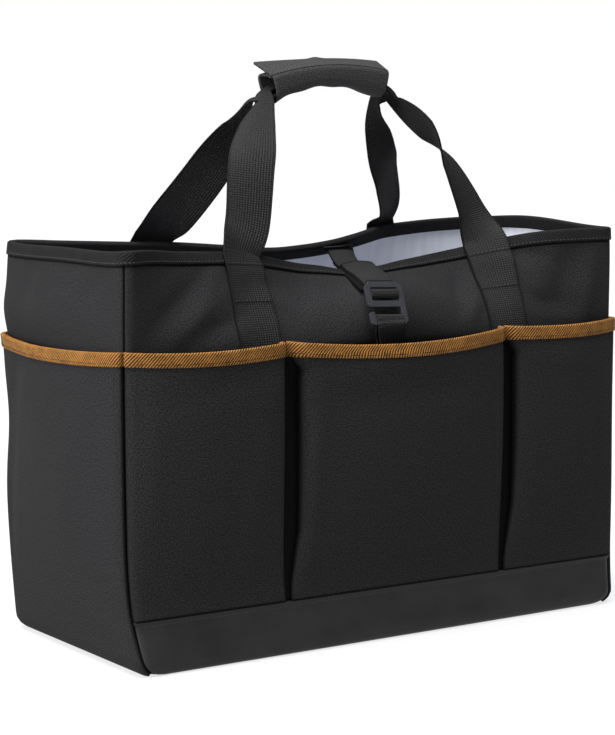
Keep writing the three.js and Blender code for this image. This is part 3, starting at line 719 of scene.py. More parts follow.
@dataclass(frozen=True)
class TwillTape(Finish):
    """Twill binding tape: fine diagonal ribs, a lighter crown on each rib, and uneven dye."""

    rib: float = 2.0
    slant: float = 40.0
    dye: float = 14.0
    rib_shade: float = 1.1
    dimming: float = 0.36
    relief_mm: float = 0.3

    def make(self) -> None:
        """Builds the twill; real ribs are 0.8 mm apart and are drawn coarser, so that they show."""
        tree = self.tree()
        uv = add_node(tree, "ShaderNodeUVMap", {"uv_map": UV_NAME}).outputs["UV"]
        slant = {"Rotation": (0, 0, math.radians(self.slant))}
        turned = add_node(tree, "ShaderNodeMapping", slant, {"Vector": uv})
        ribs = {"Scale": bands(self.rib), "Distortion": 1.2, "Detail": 2.0, "Detail Scale": 3.0}
        twill = add_node(tree, "ShaderNodeTexWave", {**ribs, "bands_direction": "X"},
                         {"Vector": turned.outputs["Vector"]})
        uneven = {"Scale": grains(self.dye), "Detail": 5.0, "Roughness": 0.75}
        dye = add_node(tree, "ShaderNodeTexNoise", uneven, {"Vector": uv})
        patchy = add_node(tree, "ShaderNodeMapRange", {"From Min": 0.3, "From Max": 0.7, "To Max": 0.6},
                          {"Value": dye.outputs["Fac"]})
        shade = add_node(tree, "ShaderNodeMath", {"operation": "MULTIPLY_ADD", 1: self.rib_shade},
                         {0: twill.outputs["Fac"], 2: patchy.outputs[0]})
        dimming = {"operation": "SUBTRACT", 1: self.dimming}
        dimmed = add_node(tree, "ShaderNodeMath", dimming, {0: shade.outputs[0]})
        self.close(tree, dimmed.outputs[0], twill.outputs["Fac"], self.relief_mm)


@dataclass(frozen=True)
class RibbedWebbing(Finish):
    """Woven polyester webbing: picks of weft across lengthwise ribs, with a slight shine."""

    pick: float = 2.0
    rib: float = 2.2
    fleck: float = 2.0
    crown_shade: float = 0.7
    dimming: float = 0.25
    relief_mm: float = 0.4
    # Colour of the shade painted along the webbing's edges and into its stitch grooves
    painted_shade_colour: str = "#030303"

    def make(self) -> None:
        """Builds the webbing; real picks are 1.2 mm apart and are drawn coarser, so that they show."""
        tree = self.tree()
        uv = add_node(tree, "ShaderNodeUVMap", {"uv_map": UV_NAME}).outputs["UV"]
        ribs = {"Scale": bands(self.rib), "bands_direction": "X", "Distortion": 0.3, "Detail": 1.0}
        picks = {"Scale": bands(self.pick), "bands_direction": "Y", "Distortion": 0.6, "Detail": 1.0}
        warp = add_node(tree, "ShaderNodeTexWave", ribs, {"Vector": uv})
        weft = add_node(tree, "ShaderNodeTexWave", picks, {"Vector": uv})
        crown = add_node(tree, "ShaderNodeMath", {"operation": "MULTIPLY"},
                         {0: warp.outputs["Fac"], 1: weft.outputs["Fac"]})
        fleck = {"Scale": grains(self.fleck), "Detail": 2.0, "Roughness": 0.6}
        grain = add_node(tree, "ShaderNodeTexNoise", fleck, {"Vector": uv})
        shade = add_node(tree, "ShaderNodeMath", {"operation": "MULTIPLY_ADD", 1: self.crown_shade},
                         {0: crown.outputs[0], 2: grain.outputs["Fac"]})
        dimming = {"operation": "SUBTRACT", 1: self.dimming}
        dimmed = add_node(tree, "ShaderNodeMath", dimming, {0: shade.outputs[0]})
        self.close(tree, dimmed.outputs[0], crown.outputs[0], self.relief_mm, self.painted_shade_colour)


@dataclass(frozen=True)
class MouldedPlastic(Finish):
    """Moulded acetal: dark grey, satin, with the fine spark grain of its mould."""

    grain: float = 0.9
    relief_mm: float = 0.04

    def make(self) -> None:
        """Builds the mould's grain."""
        tree = self.tree()
        place = add_node(tree, "ShaderNodeTexCoord").outputs["Object"]
        spark = {"Scale": grains(self.grain), "Detail": 2.0, "Roughness": 0.5}
        grain = add_node(tree, "ShaderNodeTexNoise", spark, {"Vector": place})
        self.close(tree, grain.outputs["Fac"], grain.outputs["Fac"], self.relief_mm)


@dataclass(frozen=True)
class SewingThread(Finish):
    """Bonded polyester thread: slightly shiny, with uneven plies."""

    ply: float = 0.8
    relief_mm: float = 0.1

    def make(self) -> None:
        """Builds the plies."""
        tree = self.tree()
        place = add_node(tree, "ShaderNodeTexCoord").outputs["Object"]
        plies = {"Scale": grains(self.ply), "Detail": 1.0, "Roughness": 0.5}
        ply = add_node(tree, "ShaderNodeTexNoise", plies, {"Vector": place})
        self.close(tree, ply.outputs["Fac"], ply.outputs["Fac"], self.relief_mm)


POLYESTER = PlainWeave("woven_polyester", "#060607", "#282829", roughness=0.85, specular=0.08)
# A lighter copy of the body's polyester for the wrap: painted light for its sheen and the strong light from
# above
WRAP_POLYESTER = PlainWeave("painted_light_polyester", "#161617", "#3c3c3d", roughness=0.85, specular=0.1)
COATED = CoatedFabric("coated_polyester", "#19191a", "#212122", roughness=0.5, specular=0.2)
SATIN = SatinLining("satin_lining", "#bcbfc9", "#dcdee6", roughness=0.45, specular=0.4)
BLACK_TWILL = TwillTape("black_twill_tape", "#030304", "#1d1d1e", roughness=0.75, specular=0.1)
TAN_TWILL = TwillTape("tan_twill_tape", "#170c03", "#90632d", roughness=0.75, specular=0.12)
STRAP_WEBBING = RibbedWebbing("polyester_webbing", "#060607", "#262627", roughness=0.65, specular=0.12)
ACETAL = MouldedPlastic("moulded_acetal", "#222326", "#2f3033", roughness=0.2, specular=0.6)
BLACK_THREAD = SewingThread("black_thread", "#1e1e1f", "#404042", roughness=0.6, specular=0.2)
BROWN_THREAD = SewingThread("brown_thread", "#160b03", "#2a1707", roughness=0.65, specular=0.15)


@dataclass
class ClothSheet:
    """One sheet of cloth: a grid whose corners are carried to a lattice on its outer face."""

    name: str
    lattice: Array
    thickness: float
    ring: bool = False
    # Painted shade at each corner of the lattice: 0 full, 1 none; None leaves the sheet without painted shade
    painted_shade_mask: Array | None = None
    trade_width: float = 0.0

    def lengths(self, axis: int) -> Array:
        """Mean length of cloth from the first line of the lattice to each line.

        Args:
            axis: 0 across the columns, 1 along the rows.

        Returns:
            Lengths, starting at 0.
        """
        steps = np.linalg.norm(np.diff(self.lattice, axis=axis), axis=-1).mean(axis=1 - axis)
        return np.concatenate([[0.0], np.cumsum(steps)])

    def cut(self) -> tuple[float, float]:
        """Width and length of the flat cloth, in metres, with its trade width where it has one."""
        sides = [round(float(self.lengths(axis)[-1]) * MM, 3) for axis in (0, 1)]
        if self.trade_width:
            sides[sides.index(min(sides))] = round(self.trade_width * MM, 3)
        return sides[0], sides[1]

    def build(self) -> bpy.types.Object:
        """Makes the sheet's object.

        Returns:
            The object, at the origin, with its thickness in a modifier.
        """
        columns, rows, _ = self.lattice.shape
        bm = bmesh.new()
        uv = bm.loops.layers.uv.new(UV_NAME)
        # The painted shade goes onto the vertices, for the finish to darken the colour by
        shade_mask_layer = bm.verts.layers.float.new(SHADE_MASK_ATTRIBUTE)
        painted_shade_mask = np.broadcast_to(1.0 if self.painted_shade_mask is None else self.painted_shade_mask, (columns, rows))
        bmesh.ops.create_grid(bm, x_segments=columns - 1, y_segments=rows - 1, size=1.0)
        across, up = self.lengths(0) * MM, self.lengths(1) * MM
        places = []
        for vert in bm.verts:
            i = round((vert.co.x + 1) / 2 * (columns - 1))
            j = round((vert.co.y + 1) / 2 * (rows - 1))
            vert.co = Vector(self.lattice[i, j]) * MM
            vert[shade_mask_layer] = painted_shade_mask[i, j]
            places.append((across[i], up[j]))
        bm.verts.index_update()
        for face in bm.faces:
            for loop in face.loops:
                loop[uv].uv = places[loop.vert.index]
        if self.ring:
            bmesh.ops.remove_doubles(bm, verts=bm.verts[:], dist=MERGE_DISTANCE)
        piece = new_object(self.name, bm)
        wall = piece.modifiers.new("thickness", "SOLIDIFY")
        wall.thickness = self.thickness * MM
        wall.offset = -1.0
        wall.use_quality_normals = True
        return piece


def new_object(name: str, bm: bmesh.types.BMesh) -> bpy.types.Object:
    """Turns a bmesh into a smoothly shaded object of the scene.

    Args:
        name: the object's name.
        bm: its mesh, freed afterwards.

    Returns:
        The object.
    """
    for face in bm.faces:
        face.smooth = True
    mesh = bpy.data.meshes.new(name)
    bm.to_mesh(mesh)
    bm.free()
    piece = bpy.data.objects.new(name, mesh)
    bpy.context.scene.collection.objects.link(piece)
    return piece


def dress(piece: bpy.types.Object, finish: Finish, slot: str, *nodes: str) -> None:
    """Gives a piece its finish and its place in the part.

    Args:
        piece: the piece.
        finish: what it is made of.
        slot: the record's material slot; not used.
        nodes: the solids that it stands for.
    """
    piece.data.materials.append(finish.material())
    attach(piece, "root")
    if nodes:
        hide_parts(*nodes)
    LOG.info("%s: %d faces", piece.name, len(piece.data.polygons))


def dress_sheet(
    sheet: ClothSheet,
    finish: Finish,
    slot: str,
    node: str,
) -> None:
    """Builds a sheet of cloth, dresses it and logs its cut.

    Args:
        sheet: the sheet.
        finish: what it is made of.
        slot: the record's material slot.
        node: the solid that it stands for.
    """
    piece = sheet.build()
    dress(piece, finish, slot, node)
    sheet.cut()
    LOG.info("%s: cut %.3f by %.3f m", piece.name, *sheet.cut())


def folded_section(stack: float) -> tuple[Array, Array]:
    """Section of a tape folded over a stack of cloth.

    Args:
        stack: thickness of the stack.

    Returns:
        Distances out from the stack's outer face and up from its edge.
    """
    fold_points = 9
    leg_points = 7
    flatness = 0.6
    radius = stack / 2 + TAPE_OUT
    turn = np.linspace(0, np.pi, fold_points)
    fold_out = -stack / 2 + radius * np.cos(turn)
    fold_up = TAPE_OUT - radius * flatness + radius * flatness * np.sin(turn)
    leg = np.linspace(-TAPE_WIDTH, fold_up[0], leg_points + 1)[:-1]
    out = np.concatenate([np.full(len(leg), TAPE_OUT), fold_out, np.full(len(leg), -stack - TAPE_OUT)])
    return out, np.concatenate([leg, fold_up, leg[::-1]])


@dataclass
class Body:
    """Panels, base, lining and rim tape."""

    shape: BodyShape
    cell: float = 4.0
    below_tape: tuple[float, ...] = (0.2, 0.8, 1.4, 2.0, 2.6)
    # Reach of the shade painted below the rim tape and behind a pocket
    tape_dark: float = 1.2
    pocket_dark: float = 8.0
    welt: float = 1.9
    welt_half: float = 2.0
    welt_below: float = 1.0
    hem: float = 9.0
    hem_rows: int = 13
    strip_rows: int = 16
    floor_rows: int = 40
    lining_cell: float = 6.0
    lining_turn_rows: int = 6
    lining_start: float = 24.0
    lining_rows: int = 56
    lining_floor: tuple[float, ...] = (0.0, 0.35, 0.7)
    lining_share: float = 0.85
    tape_stitch: float = 2.0
    base_stitch: float = 4.5
    base_stitch_points: int = 120

    def rows(self, foot: float) -> Array:
        """Levels of a panel's rows from its foot to the rim, crowded below the rim tape."""
        even = np.linspace(foot, RIM, round((RIM - foot) / self.cell) + 1)
        crowded = RIM - TAPE_WIDTH - np.array(self.below_tape)
        return np.sort(np.concatenate([even, crowded]))

    def panel(self, side: Side, foot: float) -> Array:
        """Lattice of one panel's outer face.

        Args:
            side: the wall.
            foot: lower edge, up the wall.

        Returns:
            The lattice.
        """
        t = self.shape.columns(side, self.cell)[:, None]
        s = self.rows(foot)[None, :]
        return self.shape.on_wall(side, t, s, -self.shape.seam_dip(side, t, s))

    def painted_shade_mask(self, side: Side, foot: float) -> Array:
        """Painted shade of a panel: full in its seams, under the rim tape and behind a pocket, none
        elsewhere.

        Args:
            side: the wall.
            foot: lower edge, up the wall.

        Returns:
            Painted shade mask at each corner of the panel's lattice: 0 where the shade is full, 1 where there
            is none.
        """
        t = self.shape.columns(side, self.cell)[:, None]
        s = self.rows(foot)[None, :]
        open_cloth = smooth_step((s - POCKET_TOP + self.pocket_dark) / self.pocket_dark)
        if side is Side.BACK:
            open_cloth = 1.0
        below_tape = smooth_step((RIM - TAPE_WIDTH - self.tape_dark - s) / self.tape_dark)
        return open_cloth * below_tape * (1 - self.shape.seam_dip(side, t, s) / self.shape.seam_depth)

    def base(self) -> Array:
        """Lattice of the coated band: back strip, floor and front strip.

        Returns:
            The lattice.
        """
        shape = self.shape
        t = shape.columns(Side.FRONT, self.cell)
        hem_foot = BASE_TOP - self.hem
        upper = np.linspace(BASE_TOP, hem_foot, self.hem_rows)
        strip = np.concatenate([upper, np.linspace(hem_foot, shape.floor_edge, self.strip_rows)[1:]])
        lines = [self.strip_line(Side.BACK, -t, s) for s in strip]
        lines += [self.floor_line(t, forward) for forward in np.linspace(0, 1, self.floor_rows)[1:-1]]
        lines += [self.strip_line(Side.FRONT, t, s) for s in strip[::-1]]
        return np.stack(lines, axis=1)

    def strip_line(self, side: Side, t: Array, s: float) -> Array:
        """One line along the base's strip on a long wall, with the turned-over upper edge standing out.

        Args:
            side: the wall.
            t: stations across the wall.
            s: place up the wall.

        Returns:
            The line's points.
        """
        welt = self.welt * math.exp(-(((BASE_TOP - self.welt_below - s) / self.welt_half) ** 2))
        level = np.full_like(t, s)
        return self.shape.on_wall(side, t, level, welt - self.shape.seam_dip(side, t, level))

    def floor_line(self, t: Array, forward: float) -> Array:
        """One line across the flat floor.

        Args:
            t: stations from the left to the right end.
            forward: from 0 at the back to 1 at the front.

        Returns:
            The line's points.
        """
        def edge(side: Side, at: Array | float) -> Array:
            """Points of the floor's edge under one wall."""
            return self.shape.wall(side, np.asarray(at, float), np.asarray(self.shape.floor_edge))

        right = ((t + 1) / 2)[:, None]
        long_way = edge(Side.BACK, -t) * (1 - forward) + edge(Side.FRONT, t) * forward
        left_end, right_end = edge(Side.LEFT, 2 * forward - 1), edge(Side.RIGHT, 1 - 2 * forward)
        left = edge(Side.BACK, 1.0) * (1 - forward) + edge(Side.FRONT, -1.0) * forward
        far = edge(Side.BACK, -1.0) * (1 - forward) + edge(Side.FRONT, 1.0) * forward
        return long_way + (left_end - left) * (1 - right) + (right_end - far) * right

    def lining(self) -> Array:
        """Lattice of the lining bag, from the middle of its floor up to the rim.

        Returns:
            The lattice.
        """
        shape = self.shape
        ring = shape.ring(self.lining_cell)
        behind = -(CLOTH + GAP)
        turned = np.linspace(shape.floor_edge, shape.edge_radius, self.lining_turn_rows)
        rows = np.concatenate([turned, np.linspace(self.lining_start, RIM, self.lining_rows)])
        walls = shape.around(ring[:, None], rows[None, :], behind)
        middle = np.array([0.0, 0.0, -behind])
        shares = np.array(self.lining_floor)
        floor = middle + (walls[:, :1] - middle) * shares[None, :, None]
        return np.concatenate([floor, walls], axis=1)

    def rim_tape(self) -> Array:
        """Lattice of the tape folded over the rim.

        Returns:
            The lattice.
        """
        out, above = folded_section(CLOTH + GAP + LINING + RIM_EASE)
        return self.shape.around(self.shape.ring(self.cell)[:, None], RIM + above[None, :], out[None, :])

    def build(self) -> None:
        """Builds and dresses the body's pieces."""
        under = self.shape.floor_edge
        panels = (
            (Side.FRONT, "front_panel", BASE_TOP),
            (Side.BACK, "back_panel", BASE_TOP),
            (Side.LEFT, "side_panel_left", under),
            (Side.RIGHT, "side_panel_right", under),
        )
        for side, name, foot in panels:
            sheet = ClothSheet(f"{name}_cloth", self.panel(side, foot), CLOTH, painted_shade_mask=self.painted_shade_mask(side, foot))
            dress_sheet(sheet, POLYESTER, "cloth", name)
        base = ClothSheet("base_cloth", self.base(), CLOTH)
        dress_sheet(base, COATED, "coated_base", "base")
        lining = ClothSheet("lining_cloth", self.lining(), LINING, ring=True)
        width, length = lining.cut()
        dress_sheet(lining, SATIN, "lining", "lining")
        rim = ClothSheet("rim_tape_cloth", self.rim_tape(), TAPE, ring=True, trade_width=TAPE_TRADE_WIDTH)
        dress_sheet(rim, BLACK_TWILL, "rim_twill", "rim_tape")

    def stitch_lines(self) -> list[tuple[Array, Array]]:
        """Lines of stitches on the rim tape and along the base's upper edge.

        Returns:
            Points and outward normals of each line.
        """
        ring = self.shape.ring(self.cell)
        on_tape = np.full_like(ring, RIM - TAPE_WIDTH + self.tape_stitch)
        lines = [on_surface(lambda out: self.shape.around(ring, on_tape, TAPE_OUT + out))]
        t = np.linspace(-STITCH_SPAN, STITCH_SPAN, self.base_stitch_points)
        on_base = np.full_like(t, BASE_TOP - self.base_stitch)
        for side in (Side.FRONT, Side.BACK):
            lines.append(on_surface(lambda out: self.shape.on_wall(side, t, on_base, out)))
        return lines


def on_surface(place: Callable[[float], Array]) -> tuple[Array, Array]:
    """A line on a surface with its outward normals.

    Args:
        place: the line's points at a distance out from the surface.

    Returns:
        Points and normals.
    """
    points = place(0.0)
    return points, place(1.0) - points


class PocketSpec(NamedTuple):
    """One pocket: span along its wall, foot, stand-off, belly, sag, sharpness of both ends, pleat, folds."""

    name: str
    side: Side
    start: float
    end: float
    foot: float
    gape: float
    swell: float
    sag: float
    start_turn: float
    end_turn: float
    pleat: float
    folds: tuple[Fold, ...]


CORNER_GAP = 0.2
FRONT_SPAN = 1 - CORNER_GAP / HALF_WIDTH
END_SPAN = 1 - CORNER_GAP / HALF_DEPTH
LEFT_PLEAT = (-108.0, -104.5)
RIGHT_PLEAT = (121.0, 124.5)
SIDE_POCKET_FOOT = 2.0
LEFT_POCKET_FOLDS = (
    Fold(-236, 170, 88, 90, 12, 1.2),
    Fold(-170, 236, 10, 60, 14, -1.5),
    Fold(-135, 150, 84, 90, 12, 1.0),
)
CENTRE_POCKET_FOLDS = (
    Fold(10, 246, 4, 62, 12, 2.7),
    Fold(0, 214, 2, 80, 14, -2.1),
    Fold(-84, 150, 86, 90, 10, 1.4),
    Fold(100, 160, 92, 90, 12, -1.2),
)
RIGHT_POCKET_FOLDS = (
    Fold(186, 234, -8, 44, 14, 1.5),
    Fold(150, 150, 90, 90, 10, 1.2),
    Fold(226, 140, 92, 80, 12, -1.2),
)
SIDE_POCKET_FOLDS = (
    Fold(-70, 225, 60, 40, 14, -1.8),
    Fold(-88, 130, 80, 60, 10, -1.8),
    Fold(40, 180, 70, 90, 22, 1.0),
    Fold(-20, 80, -12, 60, 18, -1.3),
)
POCKETS = (
    PocketSpec("front_left", Side.FRONT, -FRONT_SPAN, LEFT_PLEAT[0] / HALF_WIDTH, BASE_TOP, gape=9,
               swell=6, sag=3, start_turn=2, end_turn=30, pleat=0, folds=LEFT_POCKET_FOLDS),
    PocketSpec("front_centre", Side.FRONT, LEFT_PLEAT[1] / HALF_WIDTH, RIGHT_PLEAT[0] / HALF_WIDTH, BASE_TOP,
               gape=11, swell=10, sag=7, start_turn=30, end_turn=30, pleat=11, folds=CENTRE_POCKET_FOLDS),
    PocketSpec("front_right", Side.FRONT, RIGHT_PLEAT[1] / HALF_WIDTH, FRONT_SPAN, BASE_TOP, gape=9,
               swell=6, sag=2, start_turn=30, end_turn=2, pleat=8, folds=RIGHT_POCKET_FOLDS),
    PocketSpec("side_left", Side.LEFT, -END_SPAN, END_SPAN, SIDE_POCKET_FOOT, gape=5,
               swell=3, sag=4, start_turn=2, end_turn=2, pleat=0, folds=SIDE_POCKET_FOLDS),
    PocketSpec("side_right", Side.RIGHT, -END_SPAN, END_SPAN, SIDE_POCKET_FOOT, gape=0.8,
               swell=0.2, sag=4, start_turn=2, end_turn=2, pleat=0, folds=SIDE_POCKET_FOLDS),
)


@dataclass
class Pocket:
    """One pocket with the tape on its upper edge."""

    shape: BodyShape
    spec: PocketSpec
    pleat_top: float = 12.0
    pleat_closing: float = 105.0
    pleat_closed: float = 0.2
    lift: float = 1.8
    cells: int = 96
    crowding: float = 1.7
    foot_shares: tuple[float, ...] = (0.0, 0.004, 0.008, 0.013)
    row_start: float = 0.02
    rows: int = 70
    end_fade: float = 8.0
    foot_fade: float = 6.0
    corner_turn: float = 10.0
    seam_depth: float = 2.6
    # Reach of the shade painted at the pocket's ends and at its foot
    end_dark: float = 3.0
    foot_dark: float = 2.4
    tape_stitch: float = 2.6
    stitch_points: int = 90

    @property
    def half_wall(self) -> float:
        """Half the length of the wall that carries the pocket."""
        return HALF_WIDTH if self.spec.side is Side.FRONT else HALF_DEPTH

    def opening(self, s: Array) -> Array:
        """How far open the pleat beside the pocket is, from 0 to 1, at places up the wall."""
        below = np.clip((POCKET_TOP - TAPE_WIDTH - s) / self.pleat_top, 0, 1)
        above = np.clip((s - self.spec.foot) / (self.pleat_closing - self.spec.foot), self.pleat_closed, 1)
        return below * above

    def surface(self, q: Array, s: Array) -> Array:
        """Points of the pocket's outer face.

        Args:
            q: from -1 to 1 across the pocket.
            s: places up the wall.

        Returns:
            The points.
        """
        spec = self.spec
        start = spec.start + spec.pleat * self.opening(s) / HALF_WIDTH
        t = start + (spec.end - start) * (q + 1) / 2
        height = np.clip((s - spec.foot) / (POCKET_TOP - spec.foot), 0, 1)
        sharpness = np.where(q < 0, spec.start_turn, spec.end_turn)
        inside = np.minimum(1, np.abs(q))
        standing = spec.gape * (1 - (1 - height) ** 3) * (1 - inside**sharpness)
        belly = spec.swell * (1 - (1 - height) ** 2) * (1 - inside * inside)
        lift = 2 * GAP + POCKET_CLOTH + self.lift * height
        faded = smooth_step((1 - inside) * self.end_fade) * smooth_step(height * self.foot_fade)
        dents = relief(spec.folds, t * self.half_wall, s) * faded
        return self.shape.on_wall(spec.side, t, s, lift + standing + belly + dents, pulled=False)

    def edge(self, q: Array) -> Array:
        """Upper edge of the pocket's cloth at q across it."""
        return POCKET_TOP - self.spec.sag * (1 - q * q)

    def columns(self) -> Array:
        """Stations across the pocket, closer together at its ends, as a column."""
        even = np.linspace(-1, 1, self.cells + 1)[:, None]
        return np.sign(even) * (1 - (1 - np.abs(even)) ** self.crowding)

    def dip(self, q: Array) -> Array:
        """How far the cloth dips into the upright seam at an end that lies in a corner."""
        spec = self.spec
        half = (spec.end - spec.start) / 2 * self.half_wall
        off = (1 - np.abs(q)) * half
        in_corner = np.where(q < 0, spec.start_turn, spec.end_turn) < self.corner_turn
        return in_corner * self.seam_depth * np.exp(-((off / self.shape.seam_half) ** 2))

    def levels(self, q: Array) -> Array:
        """Levels of the pocket's rows at q across it, crowded at its foot."""
        share = np.concatenate([self.foot_shares, np.linspace(self.row_start, 1, self.rows)])[None, :]
        return self.spec.foot + (self.edge(q) - self.spec.foot) * share

    def cloth(self) -> Array:
        """Lattice of the pocket's outer face.

        Returns:
            The lattice.
        """
        q = self.columns()
        q, s = np.broadcast_arrays(q, self.levels(q))
        return raised(self.surface, q, s, -self.dip(q))

    def painted_shade_mask(self) -> Array:
        """Painted shade of the pocket's cloth: full at its foot and at its ends, none elsewhere.

        Returns:
            Painted shade mask at each corner of the lattice: 0 where the shade is full, 1 where there is
            none.
        """
        q = self.columns()
        half = (self.spec.end - self.spec.start) / 2 * HALF_WIDTH
        from_ends = smooth_step((1 - np.abs(q)) * half / self.end_dark)
        return from_ends * smooth_step((self.levels(q) - self.spec.foot) / self.foot_dark)

    def tape(self) -> Array:
        """Lattice of the tape folded over the pocket's upper edge.

        Returns:
            The lattice.
        """
        out, above = folded_section(POCKET_CLOTH)
        q = self.columns()
        q, s = np.broadcast_arrays(q, self.edge(q) + above[None, :])
        return raised(self.surface, q, s, out[None, :] - self.dip(q))

    def stitch_line(self) -> tuple[Array, Array]:
        """Line of stitches near the tape's lower edge: points and outward normals."""
        q = np.linspace(-STITCH_SPAN, STITCH_SPAN, self.stitch_points)
        level = self.edge(q) - TAPE_WIDTH + self.tape_stitch
        return on_surface(lambda out: raised(self.surface, q, level, TAPE_OUT + out))

    def build(self) -> None:
        """Builds and dresses the pocket and its tape."""
        name, side = self.spec.name, self.spec.side
        cloth = ClothSheet(f"pocket_{name}_cloth", self.cloth(), POCKET_CLOTH, painted_shade_mask=self.painted_shade_mask())
        dress_sheet(cloth, POLYESTER, "cloth", f"pocket_{name}")
        tape = ClothSheet(f"tape_{name}_cloth", self.tape(), TAPE, trade_width=TAPE_TRADE_WIDTH)
        dress_sheet(tape, TAN_TWILL, "tan_twill", f"tape_{name}")


class StripRow(NamedTuple):
    """One row of a strip: its middle, the direction of its width and how far it is gathered."""

    place: Array
    across: Array
    grip: float = 0.0


@dataclass(frozen=True)
class SmoothLine:
    """A smooth line through points, without loops between them."""

    points: Array
    tiny: float = 1e-4

    def at(self, share: float) -> Array:
        """Point of the line.

        Args:
            share: from 0 at its start to 1 at its end.

        Returns:
            The point.
        """
        points = self.points
        last = len(points) - 1
        place = last * min(max(share, 0.0), 1.0)
        i = min(int(place), last - 1)
        weight = place - i
        p1, p2 = points[i], points[i + 1]
        p0 = points[i - 1] if i > 0 else 2 * points[0] - points[1]
        p3 = points[i + 2] if i + 2 <= last else 2 * points[-1] - points[-2]

        def spacing(a: Array, b: Array, otherwise: float) -> float:
            """Root of the distance between two points, or another value where they coincide."""
            root = np.linalg.norm(b - a) ** 0.5
            return root if root > self.tiny else otherwise

        dt1 = spacing(p1, p2, 1.0)
        dt0 = spacing(p0, p1, dt1)
        dt2 = spacing(p2, p3, dt1)
        slope1 = ((p1 - p0) / dt0 - (p2 - p0) / (dt0 + dt1) + (p2 - p1) / dt1) * dt1
        slope2 = ((p2 - p1) / dt1 - (p3 - p1) / (dt1 + dt2) + (p3 - p2) / dt2) * dt1
        square = -3 * p1 + 3 * p2 - 2 * slope1 - slope2
        cube = 2 * p1 - 2 * p2 + slope1 + slope2
        return p1 + slope1 * weight + square * weight**2 + cube * weight**3

    def heading(self, share: float) -> Array:
        """Direction of the line at a share of its length."""
        way = self.at(min(1.0, share + self.tiny)) - self.at(max(0.0, share - self.tiny))
        return way / np.linalg.norm(way)


@dataclass
class Strip:
    """A strip of webbing or cloth along rows, gathered where the rows say so."""

    rows: list[StripRow]
    width: float
    gathered: float
    per_row: int = 8
    cup: float = math.radians(60)
    least_turn: float = 1e-3
    flat_below: float = 0.02

    def lattice(self, across: Array, out: Array) -> Array:
        """Lattice of the strip's face.

        Args:
            across: stations from -0.5 to 0.5 across it.
            out: distance of the face from the middle layer, at each station.

        Returns:
            The lattice.
        """
        line = SmoothLine(np.array([row.place for row in self.rows]))
        widths = SmoothLine(np.array([row.across for row in self.rows]))
        grips = SmoothLine(np.array([[row.grip, 0.0, 0.0] for row in self.rows]))
        shares = np.linspace(0, 1, (len(self.rows) - 1) * self.per_row + 1)
        lines = []
        for share in shares:
            grip = min(max(grips.at(share)[0], 0.0), 1.0)
            heading = line.heading(share)
            side = widths.at(share)
            side = side - heading * side.dot(heading)
            side /= np.linalg.norm(side)
            normal = np.cross(side, heading)
            width = self.width + (self.gathered - self.width) * grip
            turn = max(self.cup * grip, self.least_turn)
            radius = width / turn
            sink = radius * np.cos(across * turn) - radius * math.cos(turn / 4)
            wide = (radius + out) * np.sin(across * turn)
            high = sink * (turn > self.flat_below) + out * np.cos(across * turn)
            lines.append(line.at(share) + np.outer(wide, side) + np.outer(high, normal))
        return np.stack(lines, axis=1)


class LegRow(NamedTuple):
    """One row of a free handle leg: middle, heading of its width in plan and how far gathered."""

    x: float
    y: float
    z: float
    turn: float
    grip: float


def plan_heading(turn: float) -> Array:
    """Direction in plan, in degrees from +X."""
    return np.array([math.cos(math.radians(turn)), math.sin(math.radians(turn)), 0.0])


